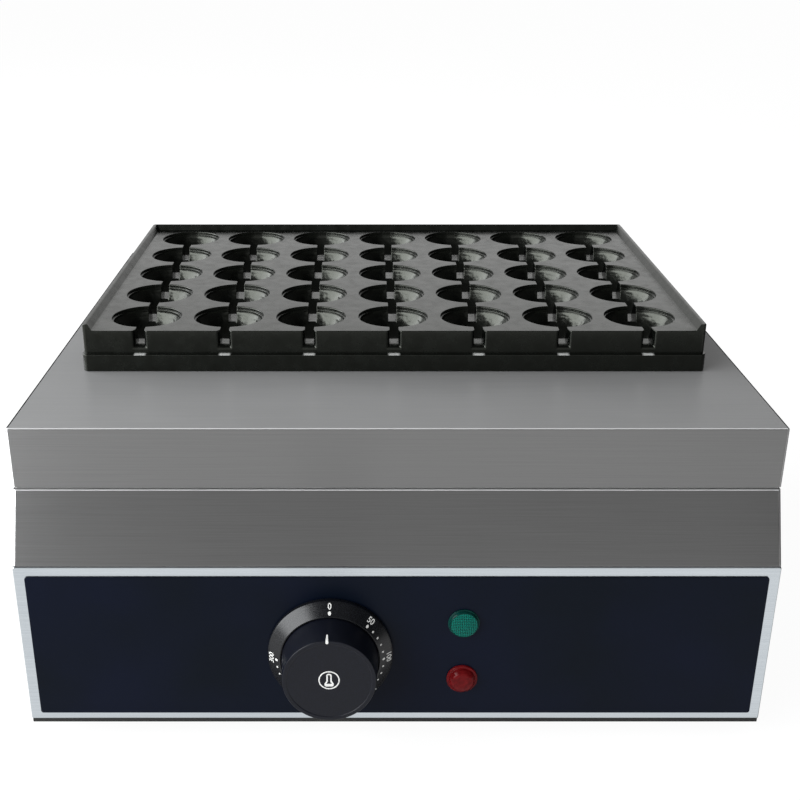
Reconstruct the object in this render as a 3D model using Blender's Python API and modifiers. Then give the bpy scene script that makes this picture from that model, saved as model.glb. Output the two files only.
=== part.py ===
"""Countertop electric grill that bakes quail eggs in the thirty-five cups of a cast plate.

All sizes are metres. +X is to the right of someone who faces the controls, +Y to the back and +Z up. The
origin is on the surface that the feet stand on, under the middle of the grill's box.
"""

import math

import bmesh
import bpy
from mathutils import Matrix, Vector

# Clearances and cuts
seat_gap = 0.0003
cut_overrun = 0.004
join_depth = 0.0005
weld_distance = 0.00001

# Housing
housing_sheet = 0.0012
panel_height = 0.1095
shelf_drop = 0.0415
shelf_reach = 0.019
flange_width = 0.014
neck_height = 0.014

# Cover
cover_side_border = 0.027
cover_rear_border = 0.025
cover_sheet = 0.0012
cover_skirt_height = 0.0375
cover_bend_radius = 0.0015
seam_height = 0.0012
cover_screw_inset = 0.070
cover_screw_height = 0.007

# Mould plate
plate_width = 0.396
plate_depth = 0.282
plate_setback = 0.098
plate_plane_height = 0.0265
plate_rim_height = 0.0045
plate_rim_top_width = 0.0035
plate_rim_foot_width = 0.0072
plate_corner_radius = 0.005
plate_band_height = 0.0113
plate_band_reach = 0.003
plate_boss_depth = 0.004
plate_boss_clearance = 0.0015
opening_overlap = 0.014
opening_corner_radius = 0.008

# Cups and the channels that join them
cup_diameter = 0.0458
cup_depth = 0.019
cup_web = 0.0087
cup_front_web = 0.0091
channel_width = 0.0056
channel_depth = 0.0095
mouth_width = 0.0105
mouth_depth = 0.0125
mouth_length = 0.006

# Front panel and its printed overlay
panel_sheet = 0.0015
overlay_thickness = 0.0008
overlay_side_border = 0.0065
overlay_top_border = 0.0062
overlay_bottom_border = 0.0078
overlay_corner_radius = 0.0015

# Thermostat, its dial ring and its knob
dial_x = -0.0395
controls_below_panel_middle = 0.0026
dial_band_width = 0.0075
dial_edge_height = 0.003
dial_height = 0.0088
dial_crest_width = 0.0009
dial_floor_thickness = 0.0024
dial_recess_clearance = 0.0011
dial_screw_spacing = 0.028
dial_screw_radius = 0.002
dial_screw_head_radius = 0.0036
dial_screw_head_height = 0.0022
dial_screw_length = 0.011
knob_base_diameter = 0.0578
knob_taper = 0.0016
knob_front = 0.0305
knob_skirt_start = 0.0054
knob_edge_radius = 0.0022
knob_wall = 0.003
knob_face_thickness = 0.0035
knob_hub_radius = 0.0065
knob_bore_depth = 0.013
shaft_radius = 0.003
shaft_flat = 0.0018
shaft_socket_depth = 0.006
shaft_hole_radius = 0.0045
thermostat_width = 0.042
thermostat_height = 0.036
thermostat_depth = 0.026
tab_width = 0.0063
tab_thickness = 0.0008
tab_length = 0.009
tab_spacing = 0.016

# Pilot lamps
lamp_x = 0.0402
lamp_spacing = 0.0385
lens_diameter = 0.0188
lens_flange_height = 0.0016
lens_height = 0.0062
lens_flange_width = 0.0014
lens_shoulder_height = 0.0034
lens_crown_inset = 0.0014
lamp_body_radius = 0.0062
lamp_body_length = 0.028
lamp_barb_step = 0.0009
lamp_barb_length = 0.006

# Heating elements and their bolted clamps
element_radius = 0.004
element_end_clearance = 0.010
element_boss_inset = 0.005
element_leg_spacing = 0.0545
element_pitch = 0.08175
element_drop = 0.034
element_bend_radius = 0.014
element_pin_radius = 0.0015
element_pin_length = 0.009
bar_width = 0.020
bar_thickness = 0.003
bar_end_margin = 0.040
bolt_span_column_count = 3
bolt_inset_row_count = 1
bolt_radius = 0.003
bolt_grip = 0.007
bolt_head_radius = 0.0055
bolt_head_height = 0.004
spacer_radius = 0.0050
spacer_length = 0.008

# Heat shield and insulation
board_side_inset = 0.0355
board_end_margin = 0.03525
board_thickness = 0.008
shield_sheet = 0.001
shield_wall_height = 0.0095

# Sensing bulb, its holder and the capillary
bulb_radius = 0.003
bulb_length = 0.090
holder_width = 0.012
holder_height = 0.0095
holder_length = 0.050
capillary_radius = 0.0010
capillary_sweep = 0.012

# Base plate and feet
base_sheet = 0.0012
base_wall_height = 0.012
base_slot_width = 0.0034
base_slot_length = 0.060
base_slot_count = 6
base_slot_pitch = 0.014
foot_height = 0.012
foot_top_radius = 0.013
foot_bottom_radius = 0.0115
foot_edge_radius = 0.0015
foot_inset_x = 0.045
foot_front_inset = 0.050
foot_rear_inset = 0.040
foot_bore_radius = 0.0026
foot_counterbore_radius = 0.006
foot_counterbore_depth = 0.006
foot_screw_radius = 0.002
foot_screw_head_radius = 0.0042
foot_screw_head_height = 0.0026
foot_screw_length = 0.014

# Rear panel, its vents, gland, earth stud and screws
rear_sheet = 0.0012
vent_width = 0.0034
vent_length = 0.036
vent_pitch = 0.010
vent_count = 9
vent_centre_x = 0.105
vent_below_body_top = 0.046
gland_inset = 0.075
gland_height = 0.030
gland_radius = 0.0078
gland_bore_radius = 0.0042
gland_collar_radius = 0.0125
gland_collar_length = 0.006
gland_dome_radius = 0.0105
gland_dome_length = 0.012
gland_mouth_radius = 0.0067
gland_inner_length = 0.012
locknut_thickness = 0.005
locknut_radius = 0.0125
earth_spacing = 0.045
earth_radius = 0.003
earth_outer_length = 0.011
earth_inner_length = 0.013
earth_nut_radius = 0.0058
earth_nut_thickness = 0.005
sheet_screw_radius = 0.0018
sheet_screw_head_radius = 0.0036
sheet_screw_head_height = 0.0021
sheet_screw_length = 0.009
rear_screw_inset = 0.007
rear_screw_end_inset = 0.020

# Terminal block and wires
block_width = 0.044
block_depth = 0.024
block_height = 0.018
block_pole_spacing = 0.0135
block_pole_count = 3
block_bore_radius = 0.0026
block_behind = 0.055
wire_radius = 0.0016
wire_entry = 0.004

# How finely round pieces are stepped, and how sharp an edge is before it stays sharp
cup_steps = 16
cup_rings = 4
knob_steps = 40
dial_steps = 40
round_steps = 16
screw_steps = 10
hex_sides = 6
bend_steps = 6
corner_steps = 3
cover_bend_steps = 2
route_steps = 5
wire_steps = 4
tube_sides = 2
thin_tube_sides = 1
sharp_edge_degrees = 35

# A direction runs along an axis when its share of that axis is over this
aligned_share = math.cos(math.pi / 4)

# Places that follow from the sizes
body_bottom = foot_height
housing_width = plate_width + 2 * cover_side_border
cover_depth = plate_setback + plate_depth + cover_rear_border
panel_top = body_bottom + panel_height
body_top = panel_top + shelf_drop
cover_bottom = body_top + seam_height
cover_top = cover_bottom + cover_skirt_height
front_reach = shelf_reach + seat_gap + overlay_thickness + seat_gap + knob_front
rear_reach = gland_collar_length + gland_dome_length + seat_gap
cover_front = front_reach - (front_reach + cover_depth + rear_reach) / 2
cover_back = cover_front + cover_depth
panel_face = cover_front - shelf_reach
overlay_face = panel_face - seat_gap - overlay_thickness
dial_seat = overlay_face - seat_gap
overlay_width = housing_width - 2 * overlay_side_border
overlay_height = panel_height - overlay_top_border - overlay_bottom_border
dial_z = body_bottom + panel_height / 2 - controls_below_panel_middle
dial_recess_radius = knob_base_diameter / 2 + dial_recess_clearance
dial_radius = dial_recess_radius + dial_band_width
knob_face_diameter = knob_base_diameter - 2 * knob_taper
lens_dome_radius = lens_diameter / 2 - lens_flange_width
lens_crown_radius = lens_dome_radius - lens_crown_inset
lamp_barb_radius = lamp_body_radius + lamp_barb_step
side_x = housing_width / 2
neck_x = side_x - cover_sheet - seat_gap
gland_x = gland_inset - side_x
earth_x = gland_x + earth_spacing
shell_front = panel_face + panel_sheet + seat_gap
shell_back = cover_back - rear_sheet - seat_gap
plate_seat = cover_top + seat_gap
plate_plane = cover_top + plate_plane_height
plate_front = cover_front + plate_setback
plate_back = plate_front + plate_depth
cup_pitch = cup_diameter + cup_web
first_row_setback = cup_diameter / 2 + cup_front_web
cup_field_width = plate_width - 2 * plate_rim_foot_width - cup_diameter
cup_field_depth = plate_depth - first_row_setback - cup_diameter / 2 - plate_rim_foot_width
cup_columns = 1 + int(cup_field_width / cup_pitch)
cup_rows = 1 + int(cup_field_depth / cup_pitch)
plate_middle = plate_front + first_row_setback + cup_pitch * (cup_rows - 1) / 2
bolt_columns = bolt_span_column_count + (cup_columns - bolt_span_column_count) % 2
bolt_x = cup_pitch * bolt_columns / 2
bolt_reach = cup_pitch * (cup_rows - 2 * bolt_inset_row_count) / 2
opening_x = plate_width / 2 + plate_band_reach - opening_overlap
opening_front = plate_front - plate_band_reach + opening_overlap
opening_back = plate_back + plate_band_reach - opening_overlap
boss_x = opening_x - plate_boss_clearance
board_width = 2 * (boss_x - board_side_inset)
board_depth = 2 * (bolt_reach + board_end_margin)
boss_bottom = plate_seat - plate_boss_depth - cover_sheet
element_z = boss_bottom - seat_gap - element_radius
element_leg_reach = board_width / 2 + element_end_clearance
element_loop_reach = boss_x - element_boss_inset - element_radius - element_leg_spacing / 2
element_count = int(plate_depth / element_pitch)
bar_top = element_z - element_radius - seat_gap
spacer_top = bar_top - bar_thickness - seat_gap
board_top = spacer_top - spacer_length - seat_gap
board_bottom = board_top - board_thickness
shield_top = board_bottom - seat_gap
shield_bottom = shield_top - shield_sheet

parts = bpy.data.collections.new("quail_egg_grill")
cutters = bpy.data.collections.new("cutters")


def clear_scene():
    for old in list(bpy.data.objects):
        bpy.data.objects.remove(old, do_unlink=True)
    bpy.context.scene.collection.children.link(parts)
    bpy.context.scene.collection.children.link(cutters)
    cutters.hide_render = True


def finish(name, colour, roughness, metallic=0.0, transmission=0.0):
    """A Principled material, made once for each name."""
    material = bpy.data.materials.get(name)
    if material is None:
        material = bpy.data.materials.new(name)
        material.use_nodes = True
        shader = material.node_tree.nodes["Principled BSDF"]
        shader.inputs["Base Color"].default_value = (*colour, 1.0)
        shader.inputs["Roughness"].default_value = roughness
        shader.inputs["Metallic"].default_value = metallic
        shader.inputs["Transmission Weight"].default_value = transmission
        material.diffuse_color = (*colour, 1.0)
    return material


def brushed_steel():
    return finish("brushed stainless steel", (0.36, 0.36, 0.36), 0.38, 1.0)


def zinc_steel():
    return finish("zinc plated steel", (0.55, 0.56, 0.58), 0.35, 1.0)


def black_coating():
    return finish("black non-stick coating", (0.03, 0.035, 0.035), 0.35)


def black_plastic():
    return finish("satin black phenolic", (0.02, 0.02, 0.022), 0.45)


def copper():
    return finish("drawn copper", (0.55, 0.28, 0.16), 0.35, 1.0)


def ceramic():
    return finish("white steatite ceramic", (0.80, 0.78, 0.72), 0.6)


def show(obj, material):
    """Puts an object among the grill's parts, in its finish."""
    parts.objects.link(obj)
    obj.data.materials.clear()
    obj.data.materials.append(material)
    return obj


def hide(obj):
    """Keeps an object as the tool of a cut or a join."""
    cutters.objects.link(obj)
    obj.hide_render = True
    obj.display_type = "WIRE"
    return obj


def object_of(name, bm):
    """An object that holds the shapes of one bmesh."""
    mesh = bpy.data.meshes.new(name)
    bm.to_mesh(mesh)
    bm.free()
    return bpy.data.objects.new(name, mesh)


def add_block(bm, low, high):
    """A box between two corners. Returns its vertices."""
    low, high = Vector(low), Vector(high)
    size = high - low
    place = Matrix.Translation((low + high) / 2) @ Matrix.Diagonal((*size, 1.0))
    return bmesh.ops.create_cube(bm, size=1.0, matrix=place)["verts"]


def add_bar(bm, start, end, radius, steps, end_radius=None):
    """A round or, with few steps, a polygonal bar between two points."""
    start, end = Vector(start), Vector(end)
    way = end - start
    turn = way.to_track_quat("Z", "Y").to_matrix().to_4x4()
    place = Matrix.Translation((start + end) / 2) @ turn
    tip = radius if end_radius is None else end_radius
    bmesh.ops.create_cone(
        bm, cap_ends=True, segments=steps, radius1=radius, radius2=tip, depth=way.length, matrix=place
    )


def block(name, low, high):
    bm = bmesh.new()
    add_block(bm, low, high)
    return object_of(name, bm)


def rounded_block(name, low, high, radius, axis=2):
    """A box whose four edges along one axis are rounded."""
    bm = bmesh.new()
    add_block(bm, low, high)
    along = []
    for edge in bm.edges:
        way = (edge.verts[0].co - edge.verts[1].co).normalized()
        if abs(way[axis]) > aligned_share:
            along.append(edge)
    bmesh.ops.bevel(bm, geom=along, offset=radius, segments=corner_steps, profile=0.5, affect="EDGES")
    return object_of(name, bm)


def bars(name, ends, radius, steps=round_steps):
    """Bars of one radius, as one object: one for each pair of end points."""
    bm = bmesh.new()
    for start, end in ends:
        add_bar(bm, start, end, radius, steps)
    return object_of(name, bm)


def blocks(name, corners):
    bm = bmesh.new()
    for low, high in corners:
        add_block(bm, low, high)
    return object_of(name, bm)


def combine(target, tool, operation):
    modifier = target.modifiers.new(tool.name, "BOOLEAN")
    modifier.operation = operation
    modifier.solver = "EXACT"
    modifier.object = tool
    if not tool.users_collection:
        hide(tool)


def cut(target, *tools):
    for tool in tools:
        combine(target, tool, "DIFFERENCE")


def join(target, *tools):
    for tool in tools:
        combine(target, tool, "UNION")


def turned(name, profile, steps, place, closed=False):
    """A turned piece. The profile lists (radius, height) down its outer side. A ring's is closed."""
    mesh = bpy.data.meshes.new(name)
    bm = bmesh.new()
    points = [bm.verts.new((radius, 0, height)) for radius, height in profile]
    for first, second in zip(points, points[1:]):
        bm.edges.new((first, second))
    if closed:
        bm.edges.new((points[-1], points[0]))
    bm.to_mesh(mesh)
    bm.free()
    obj = bpy.data.objects.new(name, mesh)
    screw = obj.modifiers.new("Turn", "SCREW")
    screw.axis = "Z"
    screw.steps = steps
    screw.render_steps = steps
    screw.use_merge_vertices = True
    screw.merge_threshold = weld_distance
    screw.use_smooth_shade = True
    obj.matrix_world = place
    return obj


def facing_front(x, y, z):
    """A frame whose +Z points out of the control panel, towards the user."""
    return Matrix.Translation((x, y, z)) @ Matrix.Rotation(math.radians(90), 4, "X")


def facing_back(x, y, z):
    return Matrix.Translation((x, y, z)) @ Matrix.Rotation(math.radians(-90), 4, "X")


def facing_side(x, y, z, side):
    return Matrix.Translation((x, y, z)) @ Matrix.Rotation(side * math.radians(90), 4, "Y")


def facing_down(x, y, z):
    return Matrix.Translation((x, y, z)) @ Matrix.Rotation(math.radians(180), 4, "X")


def arc(centre, radius, start_degrees, end_degrees, steps):
    """Points along a circular arc in a plane, ends included."""
    for step in range(steps + 1):
        angle = math.radians(start_degrees + (end_degrees - start_degrees) * step / steps)
        yield centre[0] + radius * math.cos(angle), centre[1] + radius * math.sin(angle)


def tube(name, points, radius, sides=tube_sides, thin=None):
    """A tube along points. thin gives each point's share of the radius."""
    curve = bpy.data.curves.new(name, "CURVE")
    curve.dimensions = "3D"
    curve.bevel_depth = radius
    curve.bevel_resolution = sides
    curve.use_fill_caps = True
    spline = curve.splines.new("POLY")
    spline.points.add(len(points) - 1)
    for index, point in enumerate(points):
        spline.points[index].co = (*point, 1.0)
        spline.points[index].radius = thin[index] if thin else 1.0
    return bpy.data.objects.new(name, curve)


def smooth_route(marks, count):
    """Points of a smooth curve through the marks, count to a stretch, with straight ends."""
    marks = [Vector(mark) for mark in marks]
    inner = marks[1:-1]
    lead_in = (inner[0] - marks[0]).normalized() * (inner[1] - inner[0]).length
    lead_out = (marks[-1] - inner[-1]).normalized() * (inner[-1] - inner[-2]).length
    guides = [inner[1] - lead_in] + inner + [inner[-2] + lead_out]
    route = [marks[0]]
    for a, b, c, d in zip(guides, guides[1:], guides[2:], guides[3:]):
        for step in range(count):
            t = step / count
            straight = 2 * b + (c - a) * t
            bend = (2 * a - 5 * b + 4 * c - d) * t**2 + (3 * b - a - 3 * c + d) * t**3
            route.append((straight + bend) / 2)
    return route + [inner[-1], marks[-1]]


def cup_places():
    """Each cup's centre in the plate, column by column from the left, front row first."""
    for column in range(cup_columns):
        x = (column - (cup_columns - 1) / 2) * cup_pitch
        for row in range(cup_rows):
            yield x, plate_front + first_row_setback + row * cup_pitch


def column_places():
    return [(column - (cup_columns - 1) / 2) * cup_pitch for column in range(cup_columns)]


def cup_cutters():
    """A spherical bowl for each cup, carried straight up past the rim."""
    radius = cup_diameter / 2
    sphere = (radius**2 + cup_depth**2) / (2 * cup_depth)
    half_angle = math.degrees(math.asin(radius / sphere))
    wall = list(arc((0, sphere - cup_depth), sphere, half_angle - 90, -90, cup_rings))
    wall[-1] = (0, -cup_depth)
    top = plate_rim_height + cut_overrun
    profile = [(0, top), (radius, top)] + wall
    master = turned("cup_cutter", profile, cup_steps, Matrix.Identity(4))
    bpy.context.scene.collection.objects.link(master)
    bpy.context.view_layer.update()
    graph = bpy.context.evaluated_depsgraph_get()
    turned_cup = bpy.data.meshes.new_from_object(master.evaluated_get(graph))
    bm = bmesh.new()
    for x, y in cup_places():
        before = len(bm.verts)
        bm.from_mesh(turned_cup)
        bm.verts.ensure_lookup_table()
        bmesh.ops.translate(bm, verts=bm.verts[before:], vec=(x, y, plate_plane))
    bpy.data.objects.remove(master, do_unlink=True)
    return object_of("cups", bm)


def channel_cutters():
    """A straight channel through each column of cups, open at the front, ending in the last cup."""
    last_row = plate_front + first_row_setback + (cup_rows - 1) * cup_pitch
    half = channel_width / 2
    top = plate_plane + plate_rim_height + cut_overrun
    low = plate_plane - channel_depth
    front = plate_front - cut_overrun
    runs = [((x - half, front, low), (x + half, last_row, top)) for x in column_places()]
    return blocks("channels", runs)


def mouth_cutters():
    """The flared spout that each channel runs out of, on the plate's front face."""
    bm = bmesh.new()
    front = plate_front - plate_band_reach - cut_overrun
    back = plate_front + mouth_length
    top = plate_plane + plate_rim_height + cut_overrun
    for x in column_places():
        corners = add_block(
            bm, (x - mouth_width / 2, front, plate_plane - mouth_depth), (x + mouth_width / 2, back, top)
        )
        for vert in corners:
            if vert.co.y > plate_front:
                vert.co.x = x + math.copysign(channel_width / 2 - join_depth, vert.co.x - x)
                if vert.co.z < plate_plane:
                    vert.co.z = plate_plane - channel_depth + join_depth
    return object_of("mouths", bm)


def plate_recess_cutter():
    """The tray above the cups, open at the front, whose three walls lean outwards."""
    bm = bmesh.new()
    foot = plate_width / 2 - plate_rim_foot_width
    top = plate_width / 2 - plate_rim_top_width
    back_foot = plate_back - plate_rim_foot_width
    back_top = plate_back - plate_rim_top_width
    lean = (plate_rim_height + cut_overrun) / plate_rim_height
    for vert in add_block(
        bm,
        (-foot, plate_front - plate_band_reach - cut_overrun, plate_plane),
        (foot, back_foot, plate_plane + plate_rim_height + cut_overrun),
    ):
        if vert.co.z > plate_plane:
            vert.co.x = math.copysign(foot + (top - foot) * lean, vert.co.x)
            if vert.co.y > plate_front:
                vert.co.y = back_foot + (back_top - back_foot) * lean
    return object_of("recess", bm)


def bolt_places():
    """The clamp bolts stand where four cups leave the most metal between them."""
    for x in (-bolt_x, bolt_x):
        for y in (plate_middle - bolt_reach, plate_middle + bolt_reach):
            yield x, y


def mould_plate():
    band_x = plate_width / 2 + plate_band_reach
    plate = rounded_block(
        "mould_plate",
        (-band_x, plate_front - plate_band_reach, plate_seat),
        (band_x, plate_back + plate_band_reach, plate_seat + plate_band_height),
        plate_corner_radius + plate_band_reach,
    )
    upper = rounded_block(
        "plate_upper",
        (-plate_width / 2, plate_front, plate_seat + join_depth),
        (plate_width / 2, plate_back, plate_plane + plate_rim_height),
        plate_corner_radius,
    )
    boss = rounded_block(
        "plate_boss",
        (-boss_x, opening_front + plate_boss_clearance, boss_bottom),
        (boss_x, opening_back - plate_boss_clearance, plate_seat + join_depth * 2),
        opening_corner_radius,
    )
    join(plate, upper, boss)
    cut(plate, plate_recess_cutter(), mouth_cutters(), channel_cutters(), cup_cutters())
    low, high = boss_bottom - cut_overrun, boss_bottom + bolt_grip + seat_gap
    holes = [((x, y, low), (x, y, high)) for x, y in bolt_places()]
    cut(plate, bars("plate_bolt_holes", holes, bolt_radius + seat_gap, screw_steps))
    show(plate, black_coating())


def cover_screw_places():
    for side in (-1, 1):
        for y in (cover_front + cover_screw_inset, cover_back - cover_screw_inset):
            yield side, y


def cover_hood():
    bm = bmesh.new()
    add_block(bm, (-side_x, cover_front, cover_bottom), (side_x, cover_back, cover_top))
    bottom = [face for face in bm.faces if face.normal.z < -aligned_share]
    bmesh.ops.delete(bm, geom=bottom, context="FACES")
    folded = [edge for edge in bm.edges if not edge.is_boundary]
    bmesh.ops.bevel(
        bm, geom=folded, offset=cover_bend_radius, segments=cover_bend_steps, profile=0.5, affect="EDGES"
    )
    hood = object_of("cover_hood", bm)
    wall = hood.modifiers.new("Sheet", "SOLIDIFY")
    wall.thickness = cover_sheet
    wall.offset = -1
    wall.use_even_offset = True
    opening = rounded_block(
        "cover_opening",
        (-opening_x, opening_front, cover_top - cover_sheet - cut_overrun),
        (opening_x, opening_back, cover_top + cut_overrun),
        opening_corner_radius,
    )
    z = cover_bottom + cover_screw_height
    holes = [
        ((side * (side_x - cover_sheet - cut_overrun), y, z), (side * (side_x + cut_overrun), y, z))
        for side, y in cover_screw_places()
    ]
    cut(hood, opening, bars("cover_screw_holes", holes, sheet_screw_radius + seat_gap, screw_steps))
    show(hood, brushed_steel())


def side_outline(inset):
    """The body's outline seen from the side, front top first, set in by a wall."""
    slope = math.atan2(shelf_reach, shelf_drop)
    across = inset / math.cos(slope)
    lip = panel_top + seat_gap
    low_y = panel_face + shelf_reach * (lip - panel_top) / shelf_drop
    return [
        (cover_front + across, body_top),
        (low_y + across + inset * math.tan(slope), lip + inset),
        (shell_front + inset, lip + inset),
        (shell_front + inset, body_bottom),
        (shell_back - inset, body_bottom),
        (shell_back - inset, body_top),
    ]


def extruded_side(name, outline, half_width):
    """A solid of one side outline, across the body."""
    bm = bmesh.new()
    left = [bm.verts.new((-half_width, y, z)) for y, z in outline]
    face = bm.faces.new(left)
    moved = bmesh.ops.extrude_face_region(bm, geom=[face])["geom"]
    across = [item for item in moved if isinstance(item, bmesh.types.BMVert)]
    bmesh.ops.translate(bm, verts=across, vec=(2 * half_width, 0, 0))
    bmesh.ops.recalc_face_normals(bm, faces=bm.faces)
    return object_of(name, bm)


def body_shell():
    shell = extruded_side("body_shell", side_outline(0), side_x)
    neck_front = cover_front + cover_sheet + seat_gap
    neck = block(
        "neck", (-neck_x, neck_front, body_top - join_depth), (neck_x, shell_back, body_top + neck_height)
    )
    join(shell, neck)
    hollow = extruded_side("body_hollow", body_hollow_outline(), side_x - housing_sheet)
    throat = block(
        "neck_hollow",
        (housing_sheet - neck_x, neck_front + housing_sheet, body_top - housing_sheet * 2),
        (neck_x - housing_sheet, shell_back - housing_sheet, body_top + neck_height + cut_overrun),
    )
    window_x = side_x - flange_width
    front_window = block(
        "front_window",
        (-window_x, shell_front - cut_overrun, body_bottom - cut_overrun),
        (window_x, shell_front + housing_sheet + cut_overrun, panel_top - flange_width),
    )
    rear_window = block(
        "rear_window",
        (-window_x, shell_back - housing_sheet - cut_overrun, body_bottom - cut_overrun),
        (window_x, shell_back + cut_overrun, body_top - flange_width),
    )
    cut(shell, hollow, throat, front_window, rear_window)
    z = cover_bottom + cover_screw_height
    holes = [
        ((side * (neck_x - housing_sheet - cut_overrun), y, z), (side * (neck_x + cut_overrun), y, z))
        for side, y in cover_screw_places()
    ]
    cut(shell, bars("neck_screw_holes", holes, sheet_screw_radius + seat_gap, screw_steps))
    near, far = shell_back - cut_overrun, shell_back + cut_overrun
    rear = [((x, near, z), (x, far, z)) for x, z in rear_screw_places()]
    cut(shell, bars("shell_rear_holes", rear, sheet_screw_radius + seat_gap, screw_steps))
    show(shell, brushed_steel())


def body_hollow_outline():
    """The space inside the body, open at the bottom and closed by the shelf's own sheet."""
    inner = side_outline(housing_sheet)
    top = body_top - housing_sheet
    share = (top - inner[1][1]) / (inner[0][1] - inner[1][1])
    front_top = inner[1][0] + (inner[0][0] - inner[1][0]) * share
    below = body_bottom - cut_overrun
    bottom = [(inner[3][0], below), (inner[4][0], below)]
    return [(front_top, top), inner[1], inner[2]] + bottom + [(inner[5][0], top)]


def lamp_places():
    return (("green", dial_z + lamp_spacing / 2), ("red", dial_z - lamp_spacing / 2))


def dial_screw_places():
    for side in (-1, 1):
        yield dial_x + side * dial_screw_spacing / 2, dial_z


def front_panel():
    panel = block(
        "front_panel", (-side_x, panel_face, body_bottom), (side_x, panel_face + panel_sheet, panel_top)
    )
    front, back = panel_face - cut_overrun, panel_face + panel_sheet + cut_overrun
    lamps = [((lamp_x, front, z), (lamp_x, back, z)) for _, z in lamp_places()]
    screws = [((x, front, z), (x, back, z)) for x, z in dial_screw_places()]
    cut(
        panel,
        bars("panel_lamp_holes", lamps, lamp_body_radius + seat_gap),
        bars("panel_dial_screws", screws, dial_screw_radius + seat_gap, screw_steps),
        bars("panel_shaft_hole", [((dial_x, front, dial_z), (dial_x, back, dial_z))], shaft_hole_radius),
    )
    show(panel, brushed_steel())


def control_overlay():
    top = panel_top - overlay_top_border
    overlay = rounded_block(
        "control_overlay",
        (-overlay_width / 2, overlay_face, top - overlay_height),
        (overlay_width / 2, overlay_face + overlay_thickness, top),
        overlay_corner_radius,
        axis=1,
    )
    front, back = overlay_face - cut_overrun, overlay_face + overlay_thickness + cut_overrun
    lamps = [((lamp_x, front, z), (lamp_x, back, z)) for _, z in lamp_places()]
    screws = [((x, front, z), (x, back, z)) for x, z in dial_screw_places()]
    cut(
        overlay,
        bars("overlay_lamp_holes", lamps, lamp_body_radius + seat_gap),
        bars("overlay_dial_screws", screws, dial_screw_radius + seat_gap, screw_steps),
        bars("overlay_shaft_hole", [((dial_x, front, dial_z), (dial_x, back, dial_z))], shaft_hole_radius),
    )
    show(overlay, finish("printed black overlay", (0.011, 0.014, 0.022), 0.25))


def dial_ring():
    """The fixed scale ring: a cone round a recess, with a floor that its two screws hold to the panel."""
    profile = [
        (dial_recess_radius + dial_crest_width, dial_height),
        (dial_radius - dial_crest_width, dial_edge_height + dial_crest_width),
        (dial_radius, dial_edge_height),
        (dial_radius, 0),
        (shaft_hole_radius, 0),
        (shaft_hole_radius, dial_floor_thickness),
        (dial_recess_radius, dial_floor_thickness),
        (dial_recess_radius, dial_height - dial_crest_width),
    ]
    ring = turned("dial_ring", profile, dial_steps, facing_front(dial_x, dial_seat, dial_z), closed=True)
    front, back = dial_seat - dial_floor_thickness - cut_overrun, dial_seat + cut_overrun
    screws = [((x, front, z), (x, back, z)) for x, z in dial_screw_places()]
    cut(ring, bars("ring_screw_holes", screws, dial_screw_radius + seat_gap, screw_steps))
    show(ring, black_plastic())


def knob_height_radius(height):
    """The knob's outer radius at a height in front of the dial ring's seat."""
    share = (height - dial_height) / (knob_front - dial_height)
    return (knob_base_diameter + (knob_face_diameter - knob_base_diameter) * max(share, 0)) / 2


def knob():
    """The knob: a tapered cap, hollow behind, with a hub that the shaft's flat drives."""
    face = knob_height_radius(knob_front - knob_edge_radius)
    rounding = list(
        arc((face - knob_edge_radius, knob_front - knob_edge_radius), knob_edge_radius, 90, 0, corner_steps)
    )
    inside = knob_base_diameter / 2 - knob_wall
    ceiling = knob_front - knob_face_thickness
    profile = [(0, knob_front)] + rounding + [
        (knob_height_radius(dial_height), dial_height),
        (knob_height_radius(dial_height), knob_skirt_start),
        (inside, knob_skirt_start),
        (knob_face_diameter / 2 - knob_wall, ceiling),
        (knob_hub_radius, ceiling),
        (knob_hub_radius, knob_skirt_start + dial_screw_head_height),
        (0, knob_skirt_start + dial_screw_head_height),
    ]
    cap = turned("knob", profile, knob_steps, facing_front(dial_x, dial_seat, dial_z))
    cut(cap, shaft_shape("knob_bore", knob_bore_front() - seat_gap, dial_seat, seat_gap))
    show(cap, black_plastic())


def knob_bore_front():
    """How far the shaft reaches into the hub, as a place along Y."""
    return dial_seat - knob_skirt_start - dial_screw_head_height - knob_bore_depth


def shaft_shape(name, front, back, clearance):
    """The thermostat's shaft, or the hole for it, with the flat on its upper side."""
    radius = shaft_radius + clearance
    shaft = bars(name, [((dial_x, front, dial_z), (dial_x, back, dial_z))], radius)
    flat = block(
        name + "_flat",
        (dial_x - radius - cut_overrun, front - cut_overrun, dial_z + shaft_flat + clearance),
        (dial_x + radius + cut_overrun, flat_back(), dial_z + radius + cut_overrun),
    )
    cut(shaft, flat)
    return shaft


def flat_back():
    return dial_seat + seat_gap


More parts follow.
